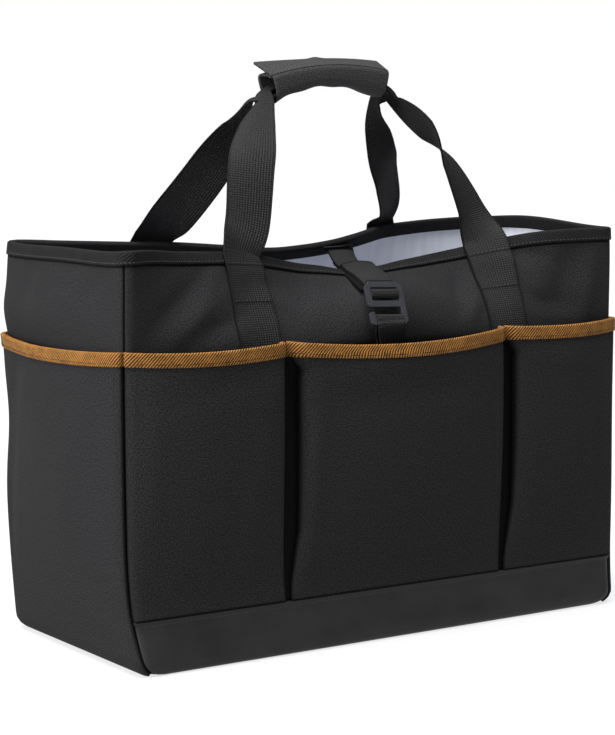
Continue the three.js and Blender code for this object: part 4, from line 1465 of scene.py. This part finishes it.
@dataclass
class HandleWrap:
    """Rolled cloth round both handles, on an arc in the handles' plane, with a stiff flap along its top."""

    x: float = 6.0
    y: float = -3.0
    z: float = 490.2
    length: float = 121.0
    arc_radius: float = 260.0
    tilt: float = 2.0
    half_depth: float = 14.0
    half_height: float = 9.3
    deeper: float = 2.6
    droop: float = 6.0
    crease: float = 0.7
    crease_count: float = 11.0
    crease_slant: float = 2.0
    squareness: float = 3.0
    start: float = 48.0
    seam: float = 405.0
    end: float = 510.0
    tuck: float = 70.0
    flap: float = 20.6
    flap_rise: float = 5.7
    left_rise: float = 6.4
    right_rise: float = 3.3
    left_slide: float = 2.6
    kink: float = 1.4
    kink_at: float = -0.05
    kink_half: float = 0.1
    thickness: float = 2.2
    columns: int = 61
    rows: int = 161
    # Rows crowded at the flap's seam, where shade is painted along the groove
    groove_rows: int = 9
    groove_before: float = 3.0
    groove_half: float = 8.0
    stitched: tuple[float, float] = (-0.96, 0.97)
    stitch_points: int = 40
    stitch_out: float = 0.1

    def middle(self, k: Array | float) -> tuple[Array, Array]:
        """Middle line of the wrap.

        Args:
            k: from -1 to 1 along it.

        Returns:
            Places and outward normals.
        """
        turned = np.asarray(k, float) * self.length / (2 * self.arc_radius) - math.radians(self.tilt)
        normal = np.stack([np.sin(turned), np.zeros_like(turned), np.cos(turned)], axis=-1)
        top = np.array([math.sin(math.radians(-self.tilt)), 0.0, math.cos(math.radians(-self.tilt))])
        return np.array([self.x, self.y, self.z]) + (normal - top) * self.arc_radius, normal

    def surface(self, k: Array, degrees: Array) -> Array:
        """Points of the wrap's outer face.

        Args:
            k: from -1 to 1 along it.
            degrees: round the roll from the front, then past the seam along the flap.

        Returns:
            The points.
        """
        k, degrees = np.broadcast_arrays(k, degrees)
        middle, normal = self.middle(k)
        turn = np.radians(np.minimum(degrees, self.seam))
        power = 2 / self.squareness
        cosine = np.sign(np.cos(turn)) * np.abs(np.cos(turn)) ** power
        sine = np.sign(np.sin(turn)) * np.abs(np.sin(turn)) ** power
        tucked = np.clip(1 - (degrees - self.start) / self.tuck, 0, 1) * (self.thickness + GAP)
        waves = np.sin(self.crease_count * k + self.crease_slant * np.cos(turn))
        creased = self.crease * waves * np.maximum(0, -np.sin(turn))
        lower = (self.deeper + self.droop * k * k) * (sine < 0)
        half_height = self.half_height + lower - tucked + creased
        past = np.maximum(0, degrees - self.seam) / (self.end - self.seam)
        ends = np.where(k < 0, self.left_rise, self.right_rise) * k * k
        kinked = self.kink * np.exp(-(((k - self.kink_at) / self.kink_half) ** 2))
        rise = half_height * sine + past * (self.flap_rise + ends + kinked)
        points = middle + normal * rise[..., None]
        points[..., 0] -= past * self.left_slide * np.maximum(0, -k) ** 2
        points[..., 1] += past * self.flap - (self.half_depth - tucked) * cosine
        return points

    def build(self) -> None:
        """Builds and dresses the wrap."""
        k = np.linspace(-1, 1, self.columns)[:, None]
        even = np.linspace(self.start, self.end, self.rows)
        groove_at = self.seam - self.groove_before
        near = groove_at + self.groove_half * np.linspace(-1, 1, self.groove_rows)
        degrees = np.unique(np.concatenate([even, near]))[None, :]
        # Paints shade along the groove where the flap is sewn down
        groove = smooth_step(np.abs(degrees - groove_at) / self.groove_half)
        sheet = ClothSheet("handle_wrap_cloth", self.surface(k, degrees), self.thickness, painted_shade_mask=groove)
        dress_sheet(sheet, WRAP_POLYESTER, "cloth", "handle_wrap")

    def stitch_line(self) -> tuple[Array, Array]:
        """Line of stitches along the flap's front fold: points and outward normals."""
        k = np.linspace(*self.stitched, self.stitch_points)
        degrees = np.full_like(k, self.seam)
        return on_surface(lambda out: raised(self.surface, k, degrees, self.stitch_out + out))


@dataclass
class CarryHandle:
    """One length of webbing: a sewn leg, the free stretch through the wrap, and the other leg."""

    shape: BodyShape
    wrap: HandleWrap
    side: Side
    leg_end: float
    left: tuple[LegRow, ...]
    right: tuple[LegRow, ...]
    grip_rise: float
    shift: float
    width: float = 40.0
    gathered: float = 17.0
    end_drop: float = 7.0
    # Reach of the shade painted along the webbing's edges
    edge_dark: float = 2.2
    stitched: tuple[float, float] = (11.0, 44.5)
    groove: float = 2.2
    groove_below: float = 1.3
    groove_rows: int = 7
    leg_rows: int = 28
    leg_top: float = 2.0
    leg_x: float = 130.5
    rim_out: float = 3.3
    rim_lift: float = 3.0
    leg_out: float = 1.5
    step_start: float = 34.0
    step_run: float = 18.0
    grip_stations: tuple[float, ...] = (-1.1, 0.0, 1.1)
    ribs: int = 16
    rib_cells: int = 4
    rib_height: float = 0.16
    stitch_span: float = 0.47
    stitch_points: int = 24

    def across(self) -> Array:
        """Stations across the webbing, a few to each rib."""
        return np.linspace(-0.5, 0.5, self.ribs * self.rib_cells + 1)

    def legs(self) -> tuple[float, float]:
        """Middles of the left and the right leg, along the wall."""
        return self.shift - self.leg_x, self.shift + self.leg_x

    def layer(self, s: Array | float) -> Array | float:
        """How far out a sewn leg's middle layer lies: on the panel below, over the rim tape above."""
        over = smooth_step((s - RIM + self.step_start) / self.step_run)
        return self.leg_out + (self.rim_out - self.leg_out) * over

    def face(self) -> Array:
        """Outer face of the webbing above its middle layer, with its ribs, at each station across it."""
        return WEBBING / 2 + self.rib_height * np.cos(2 * np.pi * self.ribs * self.across())

    def sewn_levels(self) -> Array:
        """Levels of a sewn leg's rows, crowded at its lines of stitches."""
        even = np.linspace(self.leg_end, RIM - self.leg_top, self.leg_rows)
        near = self.groove * np.linspace(-1, 1, self.groove_rows) - self.groove_below
        crowded = [RIM - below + near for below in self.stitched]
        return np.unique(np.concatenate([even, *crowded]).round(3))

    def painted_shade_mask(self, columns: int) -> Array:
        """Painted shade of the webbing: along its edges and in the grooves of the stitches.

        Args:
            columns: lines of the whole lattice along the webbing.

        Returns:
            Painted shade mask at each corner of the lattice: 0 where the shade is full, 1 where there is
            none.
        """
        edges = smooth_step((0.5 - np.abs(self.across())) * self.width / self.edge_dark)
        levels = self.sewn_levels()
        groove = np.ones(len(levels))
        for below in self.stitched:
            groove *= smooth_step(np.abs(levels - RIM + below + self.groove_below) / self.groove)
        along = np.ones(columns)
        along[:len(levels)] = groove
        along[-len(levels):] = groove[::-1]
        return edges[:, None] * along[None, :]

    def sewn(self, x: float, hand: float) -> Array:
        """Lattice of a leg sewn to the wall, from its lower end to the rim.

        Args:
            x: middle of the leg.
            hand: 1 where its width runs towards +X, else -1.

        Returns:
            The lattice.
        """
        s = self.sewn_levels()[None, :]
        at = x + self.across()[:, None] * self.width * hand
        at, s, out = np.broadcast_arrays(at, s, self.layer(s) + self.face()[:, None])
        return self.shape.at_x(self.side, at, s, out)

    def rim_row(self, x: float, hand: float) -> StripRow:
        """Row where a leg leaves the rim, its width towards +X or -X by hand."""
        place = self.shape.at_x(self.side, x, RIM + self.rim_lift, self.rim_out)
        return StripRow(place, self.shape.along(self.side, x, RIM) * hand)

    def lattice(self) -> Array:
        """Lattice of the whole webbing's outer face.

        Returns:
            The lattice.
        """
        hand = 1.0 if self.side is Side.FRONT else -1.0

        def placed(rows: tuple[LegRow, ...]) -> list[StripRow]:
            """Strip rows of a free leg."""
            return [StripRow(np.array([r.x, r.y, r.z]), plan_heading(r.turn), r.grip) for r in rows]

        gripped = []
        for k in self.grip_stations:
            middle, normal = self.wrap.middle(k)
            rise = self.grip_rise - self.end_drop * abs(k)
            gripped.append(StripRow(middle + normal * rise, plan_heading(-90), 1.0))
        left_x, right_x = self.legs()
        rows = [self.rim_row(left_x, hand), *placed(self.left), *gripped, *placed(self.right),
                self.rim_row(right_x, -hand)]
        free = Strip(rows, self.width, self.gathered).lattice(self.across(), self.face())
        left, right = self.sewn(left_x, hand), self.sewn(right_x, -hand)
        return np.concatenate([left, free, right[:, ::-1]], axis=1)

    def build(self) -> None:
        """Builds and dresses the handle."""
        name = f"handle_{self.side.value}"
        lattice = self.lattice()
        painted_shade_mask = self.painted_shade_mask(lattice.shape[1])
        sheet = ClothSheet(f"{name}_webbing", lattice, WEBBING, painted_shade_mask=painted_shade_mask, trade_width=self.width)
        dress_sheet(sheet, STRAP_WEBBING, "webbing", name)

    def stitch_lines(self) -> list[tuple[Array, Array]]:
        """Lines of stitches across the sewn legs.

        Returns:
            Points and outward normals of each line.
        """
        lines = []
        across = np.linspace(-self.stitch_span, self.stitch_span, self.stitch_points)
        for x in self.legs():
            at = x + across * self.width
            for below in self.stitched:
                level = np.full_like(at, RIM - below)
                out = self.layer(RIM - below) + WEBBING / 2
                lines.append(on_surface(lambda h: self.shape.at_x(self.side, at, level, out + h)))
        return lines


FRONT_LEFT_LEG = (
    LegRow(-109, -58.1, 361.2, -10, 0.02), LegRow(-95.7, -44.5, 415.5, -25, 0),
    LegRow(-78.2, -25.4, 446.4, -46, 0.38), LegRow(-63.9, -12.1, 464.7, -64, 0.89),
)
FRONT_RIGHT_LEG = (
    LegRow(84.6, 0.0, 466.4, -89, 0.85), LegRow(99.6, -29.4, 438.8, -97, 0),
    LegRow(115.2, -41, 409.8, -142, 0), LegRow(133.8, -51.9, 366.7, -168, 0.11),
)
BACK_LEFT_LEG = (
    LegRow(-118.8, 56.1, 362.6, -206, 0), LegRow(-94.3, 33.5, 403.3, -197, 0),
    LegRow(-71.6, 21.0, 442.4, -164, 0.1), LegRow(-65.4, 9.1, 465.6, -128, 0.7),
)
BACK_RIGHT_LEG = (
    LegRow(71.5, 9.4, 463.5, -98, 0.98), LegRow(90.9, 32, 423.3, -4, 0.55),
    LegRow(110.6, 51, 394.6, 29, 0.21), LegRow(134.7, 82.1, 360.7, 33, 0.33),
)


class StrapRow(NamedTuple):
    """One row of the strap: x of each edge and its place up from the rim, out from the tape, painted shadow
    ply.
    """

    side: Side
    left_x: float
    left_up: float
    right_x: float
    right_up: float
    out: float
    # Width of a dark sheet beside the left edge, painted as the shadow between the strap and the wall
    ply: float


class WallStep(NamedTuple):
    """One row of the lower webbing: x, level up the front wall, and out from it."""

    x: float
    s: float
    out: float


STRAP_ROWS = (
    StrapRow(Side.BACK, 38.0, 0.0, 74.0, -3.5, 0.0, 0.0),
    StrapRow(Side.BACK, 42.5, -2.5, 78.0, -9.0, -1.0, 0.0),
    StrapRow(Side.BACK, 24.0, 9.4, 51.4, 4.4, -26.0, 0.0),
    StrapRow(Side.FRONT, -14.3, 7.2, 13.1, 10.5, -3.6, 0.0),
    StrapRow(Side.FRONT, -16.4, 2.5, 15.0, 3.5, 0.2, 0.6),
    StrapRow(Side.FRONT, -16.4, -6.0, 14.6, -5.0, 0.2, 3.0),
    StrapRow(Side.FRONT, -14.2, -18.4, 13.8, -19.1, 0.8, 4.6),
    StrapRow(Side.FRONT, -15.0, -32.0, 10.8, -33.0, 2.4, 5.0),
    StrapRow(Side.FRONT, -14.6, -41.0, 8.6, -41.0, 3.4, 4.6),
)
BEHIND_STEPS = (WallStep(3, 247, 2.2), WallStep(1, 255, 3), WallStep(-1.5, 263, 4.6))
BEFORE_STEPS = (WallStep(-1.5, 263, 9.6), WallStep(1, 255, 7.2), WallStep(3, 247, 5.4))


@dataclass
class Closure:
    """Strap over the mouth, its hook buckle and the webbing below."""

    shape: BodyShape
    strap_cloth: float = 2.4
    strap_columns: int = 25
    # A dark sheet beside the strap's left edge, painted as the shadow between the strap and the wall
    shadow_sheet_columns: int = 8
    shadow_sheet_drop: float = 3.4
    shadow_sheet_turn: float = 3.0
    shadow_sheet_gap: float = 0.3
    per_row: int = 10
    crown: float = 1.8
    # Row and half reach of the shade painted along the strap's bend over the front rim
    crest_shade_row: float = 4.1
    crest_shade_half: float = 0.28
    front_x: float = -5.2
    loop_width: float = 25.0
    level: float = 289.0
    out: float = 8.6
    roll: float = -3.5
    half_width: float = 18.0
    plate: float = 3.4
    rail: float = 4.8
    corner: float = 4.0
    top: float = 20.0
    window_top: float = 14.8
    loop_bar_top: float = 10.2
    loop_bar_bottom: float = 7.8
    window_bottom: float = 2.4
    gap_top: float = -3.2
    gap_bottom: float = -12.6
    bottom: float = -20.0
    tip_rise: float = 5.0
    tip_width: float = 4.6
    tip_slope: float = 1.0
    upright_round: float = 0.9
    edge_round: float = 0.6
    sharp: float = math.radians(60)
    loop_tail: float = 4.0
    webbing_ribs: int = 10
    rib_cells: int = 4
    rib_height: float = 0.12

    def frame(self) -> tuple[Array, Array]:
        """Place of the buckle along the chord of the bent front wall.

        Returns:
            Its middle, and its axes as rows: across, up the wall and out.
        """
        levels = np.array([self.level + self.bottom, self.level, self.level + self.top])
        low, middle, high = self.shape.at_x(Side.FRONT, self.front_x, levels, self.out)
        across = self.shape.along(Side.FRONT, self.front_x, self.level)
        out = np.cross(across, high - low)
        out /= np.linalg.norm(out)
        upwards = np.cross(out, across)
        roll = math.radians(self.roll)
        rolled = across * math.cos(roll) + upwards * math.sin(roll)
        return middle, np.array([rolled, np.cross(out, rolled), out])

    def on_buckle(self, places: list[tuple[float, float]]) -> list[StripRow]:
        """Rows of a strip through places up and out of the buckle, its width along the buckle's."""
        middle, axes = self.frame()
        return [StripRow(middle + axes[1] * y + axes[2] * z, -axes[0]) for y, z in places]

    def strap(self) -> tuple[Array, Array]:
        """Lattice of the strap: from inside the back rim over the mouth and the front rim to the buckle.

        Returns:
            The lattice with a dark sheet beside its left edge, painted as shadow, and the painted shade mask
            at its corners.
        """
        inside = -(CLOTH + GAP + LINING + RIM_EASE + TAPE_OUT + 5 * GAP)
        over = TAPE_OUT + 2 * GAP + self.strap_cloth
        left, right, plies = [], [], []
        for row in STRAP_ROWS:
            layer = (inside if row.side is Side.BACK else over) + row.out
            left.append(self.shape.at_x(row.side, row.left_x, RIM + row.left_up, layer))
            right.append(self.shape.at_x(row.side, row.right_x, RIM + row.right_up, layer))
            plies.append([row.ply, 0.0, 0.0])
        edges = [SmoothLine(np.array(points)) for points in (right, left, plies)]
        shares = np.linspace(0, 1, (len(STRAP_ROWS) - 1) * self.per_row + 1)
        right_line, left_line, ply = (np.array([line.at(share) for share in shares]) for line in edges)
        side = left_line - right_line
        wide = np.linspace(0, 1, self.strap_columns)[:, None, None]
        normal = np.cross(side, np.gradient(left_line, axis=0))
        normal /= np.linalg.norm(normal, axis=-1, keepdims=True)
        face = right_line + side * wide + normal * self.crown * 4 * wide * (1 - wide)
        side = side / np.linalg.norm(side, axis=-1, keepdims=True)
        beside = np.linspace(0, 1, self.shadow_sheet_columns + 1)[1:, None, None]
        dropped = smooth_step(beside * self.shadow_sheet_turn) * self.shadow_sheet_drop * np.minimum(1, ply[:, :1])
        under = left_line + side * (self.shadow_sheet_gap * beside + beside * ply[:, :1]) - normal * dropped
        # Paints shade on the whole sheet beside the left edge and along the bend over the front rim
        painted_shade_mask = np.concatenate([np.ones(self.strap_columns), np.zeros(self.shadow_sheet_columns)])
        folds = np.abs(shares * (len(STRAP_ROWS) - 1) - self.crest_shade_row) / self.crest_shade_half
        return np.concatenate([face, under]), painted_shade_mask[:, None] * smooth_step(folds)[None, :]

    def loop_rows(self) -> list[StripRow]:
        """Rows of the loop that holds the buckle, round its loop bar.

        Returns:
            The rows.
        """
        clear = self.plate / 2 + GAP + WEBBING / 2
        bar = (self.loop_bar_top + self.loop_bar_bottom) / 2
        below = self.loop_bar_bottom - GAP - WEBBING / 2
        behind = -clear - WEBBING - GAP
        end = self.top + self.loop_tail
        return self.on_buckle([
            (end, -clear), (self.top, -clear), (self.window_top, -clear),
            (self.loop_bar_top + 3, 0.2), (self.loop_bar_top + 0.8, clear - 0.2), (bar, clear),
            (below + 0.6, clear - 0.6), (below - 0.5, 0), (below + 0.6, -clear + 0.4), (bar, -clear - 0.2),
            (self.loop_bar_top + 3, behind + 0.6), (self.window_top, behind), (self.top, behind),
            (end, behind),
        ])

    def webbing_rows(self) -> list[StripRow]:
        """Rows of the lower webbing: up the wall, over the hook's bar and back down.

        Returns:
            The rows.
        """
        bar = (self.gap_bottom + self.bottom) / 2
        clear = self.plate / 2 + GAP + WEBBING / 2
        top = self.gap_bottom + 3 * GAP + WEBBING / 2

        def on_front(steps: tuple[WallStep, ...]) -> list[StripRow]:
            """Rows on the front wall."""
            return [
                StripRow(self.shape.at_x(Side.FRONT, step.x, step.s, step.out),
                         -self.shape.along(Side.FRONT, step.x, step.s))
                for step in steps
            ]

        turn = self.on_buckle([
            (self.bottom, -clear), (bar, -clear), (self.gap_bottom, -clear), (top, 0),
            (self.gap_bottom, clear), (bar, clear), (self.bottom, clear),
        ])
        return [*on_front(BEHIND_STEPS), *turn, *on_front(BEFORE_STEPS)]

    def outline(self) -> list[tuple[float, float]]:
        """Corners of the buckle's outline: a frame above and a hook open on the left below.

        Returns:
            The corners.
        """
        half, inner = self.half_width, self.half_width - self.rail
        cut = self.corner
        tip = -half + self.tip_width
        return [
            (-half + cut, self.top), (-half, self.top - cut), (-half, self.gap_top + cut / 2),
            (-half + cut / 2, self.gap_top), (inner, self.gap_top), (inner, self.gap_bottom),
            (tip, self.gap_bottom), (tip, self.gap_bottom + self.tip_rise),
            (-half, self.gap_bottom + self.tip_rise - self.tip_slope), (-half, self.bottom + cut / 2),
            (-half + cut / 2, self.bottom), (half - cut, self.bottom), (half, self.bottom + cut),
            (half, self.top - cut), (half - cut, self.top),
        ]

    def buckle(self) -> bpy.types.Object:
        """Makes the moulded buckle.

        Returns:
            The object.
        """
        inner = self.half_width - self.rail
        windows = [(self.window_top, self.loop_bar_top), (self.loop_bar_bottom, self.window_bottom)]
        loops = [self.outline()]
        loops += [[(-inner, a), (inner, a), (inner, b), (-inner, b)] for a, b in windows]
        bm = bmesh.new()
        edges = []
        for loop in loops:
            verts = [bm.verts.new((x, y, -self.plate / 2)) for x, y in loop]
            edges += [bm.edges.new(pair) for pair in zip(verts, verts[1:] + verts[:1])]
        bmesh.ops.triangle_fill(bm, edges=edges, use_beauty=True)
        raised_plate = bmesh.ops.extrude_face_region(bm, geom=bm.faces[:])
        upper = [item for item in raised_plate["geom"] if isinstance(item, bmesh.types.BMVert)]
        bmesh.ops.translate(bm, verts=upper, vec=(0, 0, self.plate))
        bmesh.ops.recalc_face_normals(bm, faces=bm.faces[:])
        rounding = {"offset_type": "OFFSET", "segments": 3, "profile": 0.5, "affect": "EDGES", "material": -1}
        upright = [e for e in bm.edges if abs((e.verts[0].co - e.verts[1].co).z) > self.plate / 2]
        bmesh.ops.bevel(bm, geom=upright, offset=self.upright_round, clamp_overlap=True, **rounding)
        folded = [e for e in bm.edges if len(e.link_faces) == 2]
        sharp = [e for e in folded if e.calc_face_angle(0.0) > self.sharp]
        bmesh.ops.bevel(bm, geom=sharp, offset=self.edge_round, clamp_overlap=True, **rounding)
        middle, axes = self.frame()
        turn = Matrix(axes.T.tolist()).to_4x4()
        bmesh.ops.transform(bm, matrix=Matrix.Translation(Vector(middle)) @ turn, verts=bm.verts[:])
        bmesh.ops.scale(bm, vec=(MM, MM, MM), verts=bm.verts[:])
        return new_object("buckle_moulded", bm)

    def build(self) -> None:
        """Builds and dresses the closure's pieces."""
        lattice, painted_shade_mask = self.strap()
        strap_sheet = ClothSheet("closure_strap_cloth", lattice, self.strap_cloth, painted_shade_mask=painted_shade_mask)
        dress_sheet(strap_sheet, POLYESTER, "cloth", "closure_strap")
        across = np.linspace(-0.5, 0.5, self.webbing_ribs * self.rib_cells + 1)
        ribbed = WEBBING / 2 + self.rib_height * np.cos(2 * np.pi * self.webbing_ribs * across)
        loop = Strip(self.loop_rows(), self.loop_width, self.loop_width)
        loop_sheet = ClothSheet("buckle_loop_webbing", loop.lattice(across, ribbed), WEBBING)
        dress_sheet(loop_sheet, STRAP_WEBBING, "webbing", "buckle_loop")
        webbing = Strip(self.webbing_rows(), self.loop_width, self.loop_width)
        lower = ClothSheet("closure_webbing_strip", webbing.lattice(across, ribbed), WEBBING)
        dress_sheet(lower, STRAP_WEBBING, "webbing", "closure_webbing")
        dress(self.buckle(), ACETAL, "buckle_plastic", "buckle")


@dataclass
class Stitching:
    """Rows of thread: each stitch is a small flattened bead along its line."""

    name: str
    pitch: float = 3.6
    covered: float = 0.7
    width: float = 0.9
    height: float = 0.45

    def build(self, lines: list[tuple[Array, Array]], finish: Finish, slot: str) -> None:
        """Sews all lines into one piece.

        Args:
            lines: points and outward normals of each line.
            finish: the thread.
            slot: the record's material slot.
        """
        bm = bmesh.new()
        for points, normals in lines:
            steps = np.linalg.norm(np.diff(points, axis=0), axis=1)
            lengths = np.concatenate([[0.0], np.cumsum(steps)])
            count = max(1, int(lengths[-1] / self.pitch))
            ends = (np.arange(count) + 0.5) * lengths[-1] / count
            for middle in ends:
                self.stitch(bm, points, normals, lengths, middle)
        dress(new_object(self.name, bm), finish, slot)

    def stitch(
        self, bm: bmesh.types.BMesh, points: Array, normals: Array, lengths: Array, middle: float
    ) -> None:
        """Adds one stitch.

        Args:
            bm: the mesh.
            points: the line's points.
            normals: its outward normals.
            lengths: length of the line at each point.
            middle: length of the line at the stitch's middle.
        """
        def read(rows: Array, at: float) -> Vector:
            """Row of a table at a length of the line."""
            return Vector([np.interp(at, lengths, rows[:, axis]) for axis in range(3)])

        half = self.pitch * self.covered / 2
        along = read(points, middle + half) - read(points, middle - half)
        normal = read(normals, middle).normalized()
        side = normal.cross(along).normalized()
        columns = [along / 2, side * self.width / 2, normal * self.height]
        turn = Matrix([[column[row] * MM for column in columns] for row in range(3)]).to_4x4()
        place = Matrix.Translation(read(points, middle) * MM) @ turn
        bmesh.ops.create_icosphere(bm, subdivisions=1, radius=1.0, matrix=place)


@dataclass
class Studio:
    """Camera, floor and light."""

    yaw: float = 32.9986
    pitch: float = 6.6606
    roll: float = -0.2946
    focal_px: float = 2307.31
    image_height: float = 735.0
    sensor: float = 36.0
    clip_end: float = 50.0
    camera_at: tuple[float, float, float] = (-1134.31, -1729.56, 468.12)
    band_top: float = 0.06
    band_end: float = 0.12
    upper_glow: float = 0.12
    floor_radius: float = 9.0
    floor_segments: int = 96
    floor_dark: str = "#686868"
    floor_light: str = "#6c6c6c"
    floor_grain: float = 30.0
    floor_roughness: float = 0.9
    floor_glow: float = 0.72
    overhead_power: float = 8.0
    overhead_spread: float = 55.0
    overhead_at: tuple[float, float, float] = (0.0, 0.0, 3.0)
    overhead_way: tuple[float, float, float] = (0.2, 0.08, -0.97)
    key_at: tuple[float, float, float] = (-2.3, -0.25, 1.0)
    key_size: float = 1.4
    key_power: float = 74.0
    key_target: tuple[float, float, float] = (0.0, 0.0, 0.25)

    def camera(self) -> None:
        """Makes the camera of the photograph."""
        yaw, pitch, roll = (math.radians(angle) for angle in (self.yaw, self.pitch, self.roll))
        ahead = Vector((math.sin(yaw), math.cos(yaw), 0.0))
        forward = ahead * math.cos(pitch) - Vector((0.0, 0.0, math.sin(pitch)))
        level = Vector((math.cos(yaw), -math.sin(yaw), 0.0))
        up = level.cross(forward)
        right = level * math.cos(roll) + up * math.sin(roll)
        up = up * math.cos(roll) - level * math.sin(roll)
        data = bpy.data.cameras.new("photo_camera")
        data.sensor_width = self.sensor
        data.lens = self.focal_px / self.image_height * self.sensor
        data.clip_end = self.clip_end
        camera = bpy.data.objects.new("photo_camera", data)
        turn = Matrix((right, up, -forward)).transposed().to_4x4()
        camera.matrix_world = Matrix.Translation(Vector(self.camera_at) * MM) @ turn
        bpy.context.scene.collection.objects.link(camera)
        bpy.context.scene.camera = camera

    def floor(self) -> None:
        """Makes the pale floor: a white table that is lit from within, so that shadows on it stay faint."""
        bm = bmesh.new()
        bmesh.ops.create_circle(bm, cap_ends=True, segments=self.floor_segments, radius=self.floor_radius)
        floor = new_object("studio_floor", bm)
        material = bpy.data.materials.new("lit_white_table")
        material.use_nodes = True
        tree = material.node_tree
        tree.nodes.clear()
        place = add_node(tree, "ShaderNodeTexCoord").outputs["Object"]
        cloudy = {"Scale": grains(self.floor_grain), "Detail": 2.0}
        grain = add_node(tree, "ShaderNodeTexNoise", cloudy, {"Vector": place})
        mix = {"data_type": "RGBA", MIX_A: linear(self.floor_dark), MIX_B: linear(self.floor_light)}
        colour = add_node(tree, "ShaderNodeMix", mix, {0: grain.outputs["Fac"]})
        lit = {
            "Roughness": self.floor_roughness,
            "Specular IOR Level": 0.0,
            "Emission Color": WHITE,
            "Emission Strength": self.floor_glow,
        }
        shader = add_node(tree, "ShaderNodeBsdfPrincipled", lit, {"Base Color": colour.outputs[MIX_RESULT]})
        add_node(tree, "ShaderNodeOutputMaterial", {}, {"Surface": shader.outputs["BSDF"]})
        floor.data.materials.append(material)

    def hang(self, data: bpy.types.Light, place: Vector, way: Vector) -> None:
        """Puts a light into the scene.

        Args:
            data: the light.
            place: where it stands, in metres.
            way: the direction that it shines in.
        """
        light = bpy.data.objects.new(data.name, data)
        light.location = place
        light.rotation_mode = "QUATERNION"
        light.rotation_quaternion = way.to_track_quat("-Z", "Y")
        bpy.context.scene.collection.objects.link(light)

    def key(self) -> None:
        """Makes the large soft square lamp on the left."""
        data = bpy.data.lights.new("key_left", "AREA")
        data.shape = "SQUARE"
        data.size = self.key_size
        data.energy = self.key_power
        self.hang(data, Vector(self.key_at), Vector(self.key_target) - Vector(self.key_at))

    def surroundings(self) -> None:
        """Makes the white band along the horizon and the dim studio above it."""
        world = bpy.data.worlds.new("white_studio")
        world.use_nodes = True
        tree = world.node_tree
        way = add_node(tree, "ShaderNodeTexCoord").outputs["Generated"]
        height = add_node(tree, "ShaderNodeSeparateXYZ", {}, {"Vector": way}).outputs["Z"]
        glow = {
            "From Min": self.band_top,
            "From Max": self.band_end,
            "To Min": 1.0,
            "To Max": self.upper_glow,
        }
        strength = add_node(tree, "ShaderNodeMapRange", glow, {"Value": height}).outputs[0]
        backing = tree.nodes["Background"]
        backing.inputs["Color"].default_value = WHITE
        tree.links.new(strength, backing.inputs["Strength"])
        bpy.context.scene.world = world

    def overhead(self) -> None:
        """Makes the wide soft light above, even over the whole floor."""
        data = bpy.data.lights.new("overhead_soft", "SUN")
        data.energy = self.overhead_power
        data.angle = math.radians(self.overhead_spread)
        self.hang(data, Vector(self.overhead_at), Vector(self.overhead_way))

    def light(self) -> None:
        """Makes the surroundings, the soft light above and the large lamp on the left."""
        self.surroundings()
        self.overhead()
        self.key()
        bpy.context.scene.view_settings.view_transform = "Standard"

    def build(self) -> None:
        """Makes the whole studio."""
        self.camera()
        self.floor()
        self.light()


def main() -> None:
    """Builds the bag piece by piece and the studio round it."""
    logging.basicConfig(level=logging.INFO, format="%(message)s")
    Studio().build()
    shape = BodyShape()
    body = Body(shape)
    body.build()
    pockets = [Pocket(shape, spec) for spec in POCKETS]
    for pocket in pockets:
        pocket.build()
    wrap = HandleWrap()
    wrap.build()
    handles = [
        CarryHandle(shape, wrap, Side.FRONT, leg_end=252.0, left=FRONT_LEFT_LEG, right=FRONT_RIGHT_LEG,
                    grip_rise=2.0, shift=3.3),
        CarryHandle(shape, wrap, Side.BACK, leg_end=239.0, left=BACK_LEFT_LEG, right=BACK_RIGHT_LEG,
                    grip_rise=-2.8, shift=0.0),
    ]
    for handle in handles:
        handle.build()
    Closure(shape).build()
    Stitching("rim_and_base_stitching").build(body.stitch_lines(), BLACK_THREAD, "rim_twill")
    tapes = [pocket.stitch_line() for pocket in pockets]
    Stitching("pocket_tape_stitching", pitch=3.2).build(tapes, BROWN_THREAD, "tan_twill")
    legs = [line for handle in handles for line in handle.stitch_lines()]
    Stitching("handle_stitching").build([*legs, wrap.stitch_line()], BLACK_THREAD, "webbing")


if __name__ == "__main__":
    main()
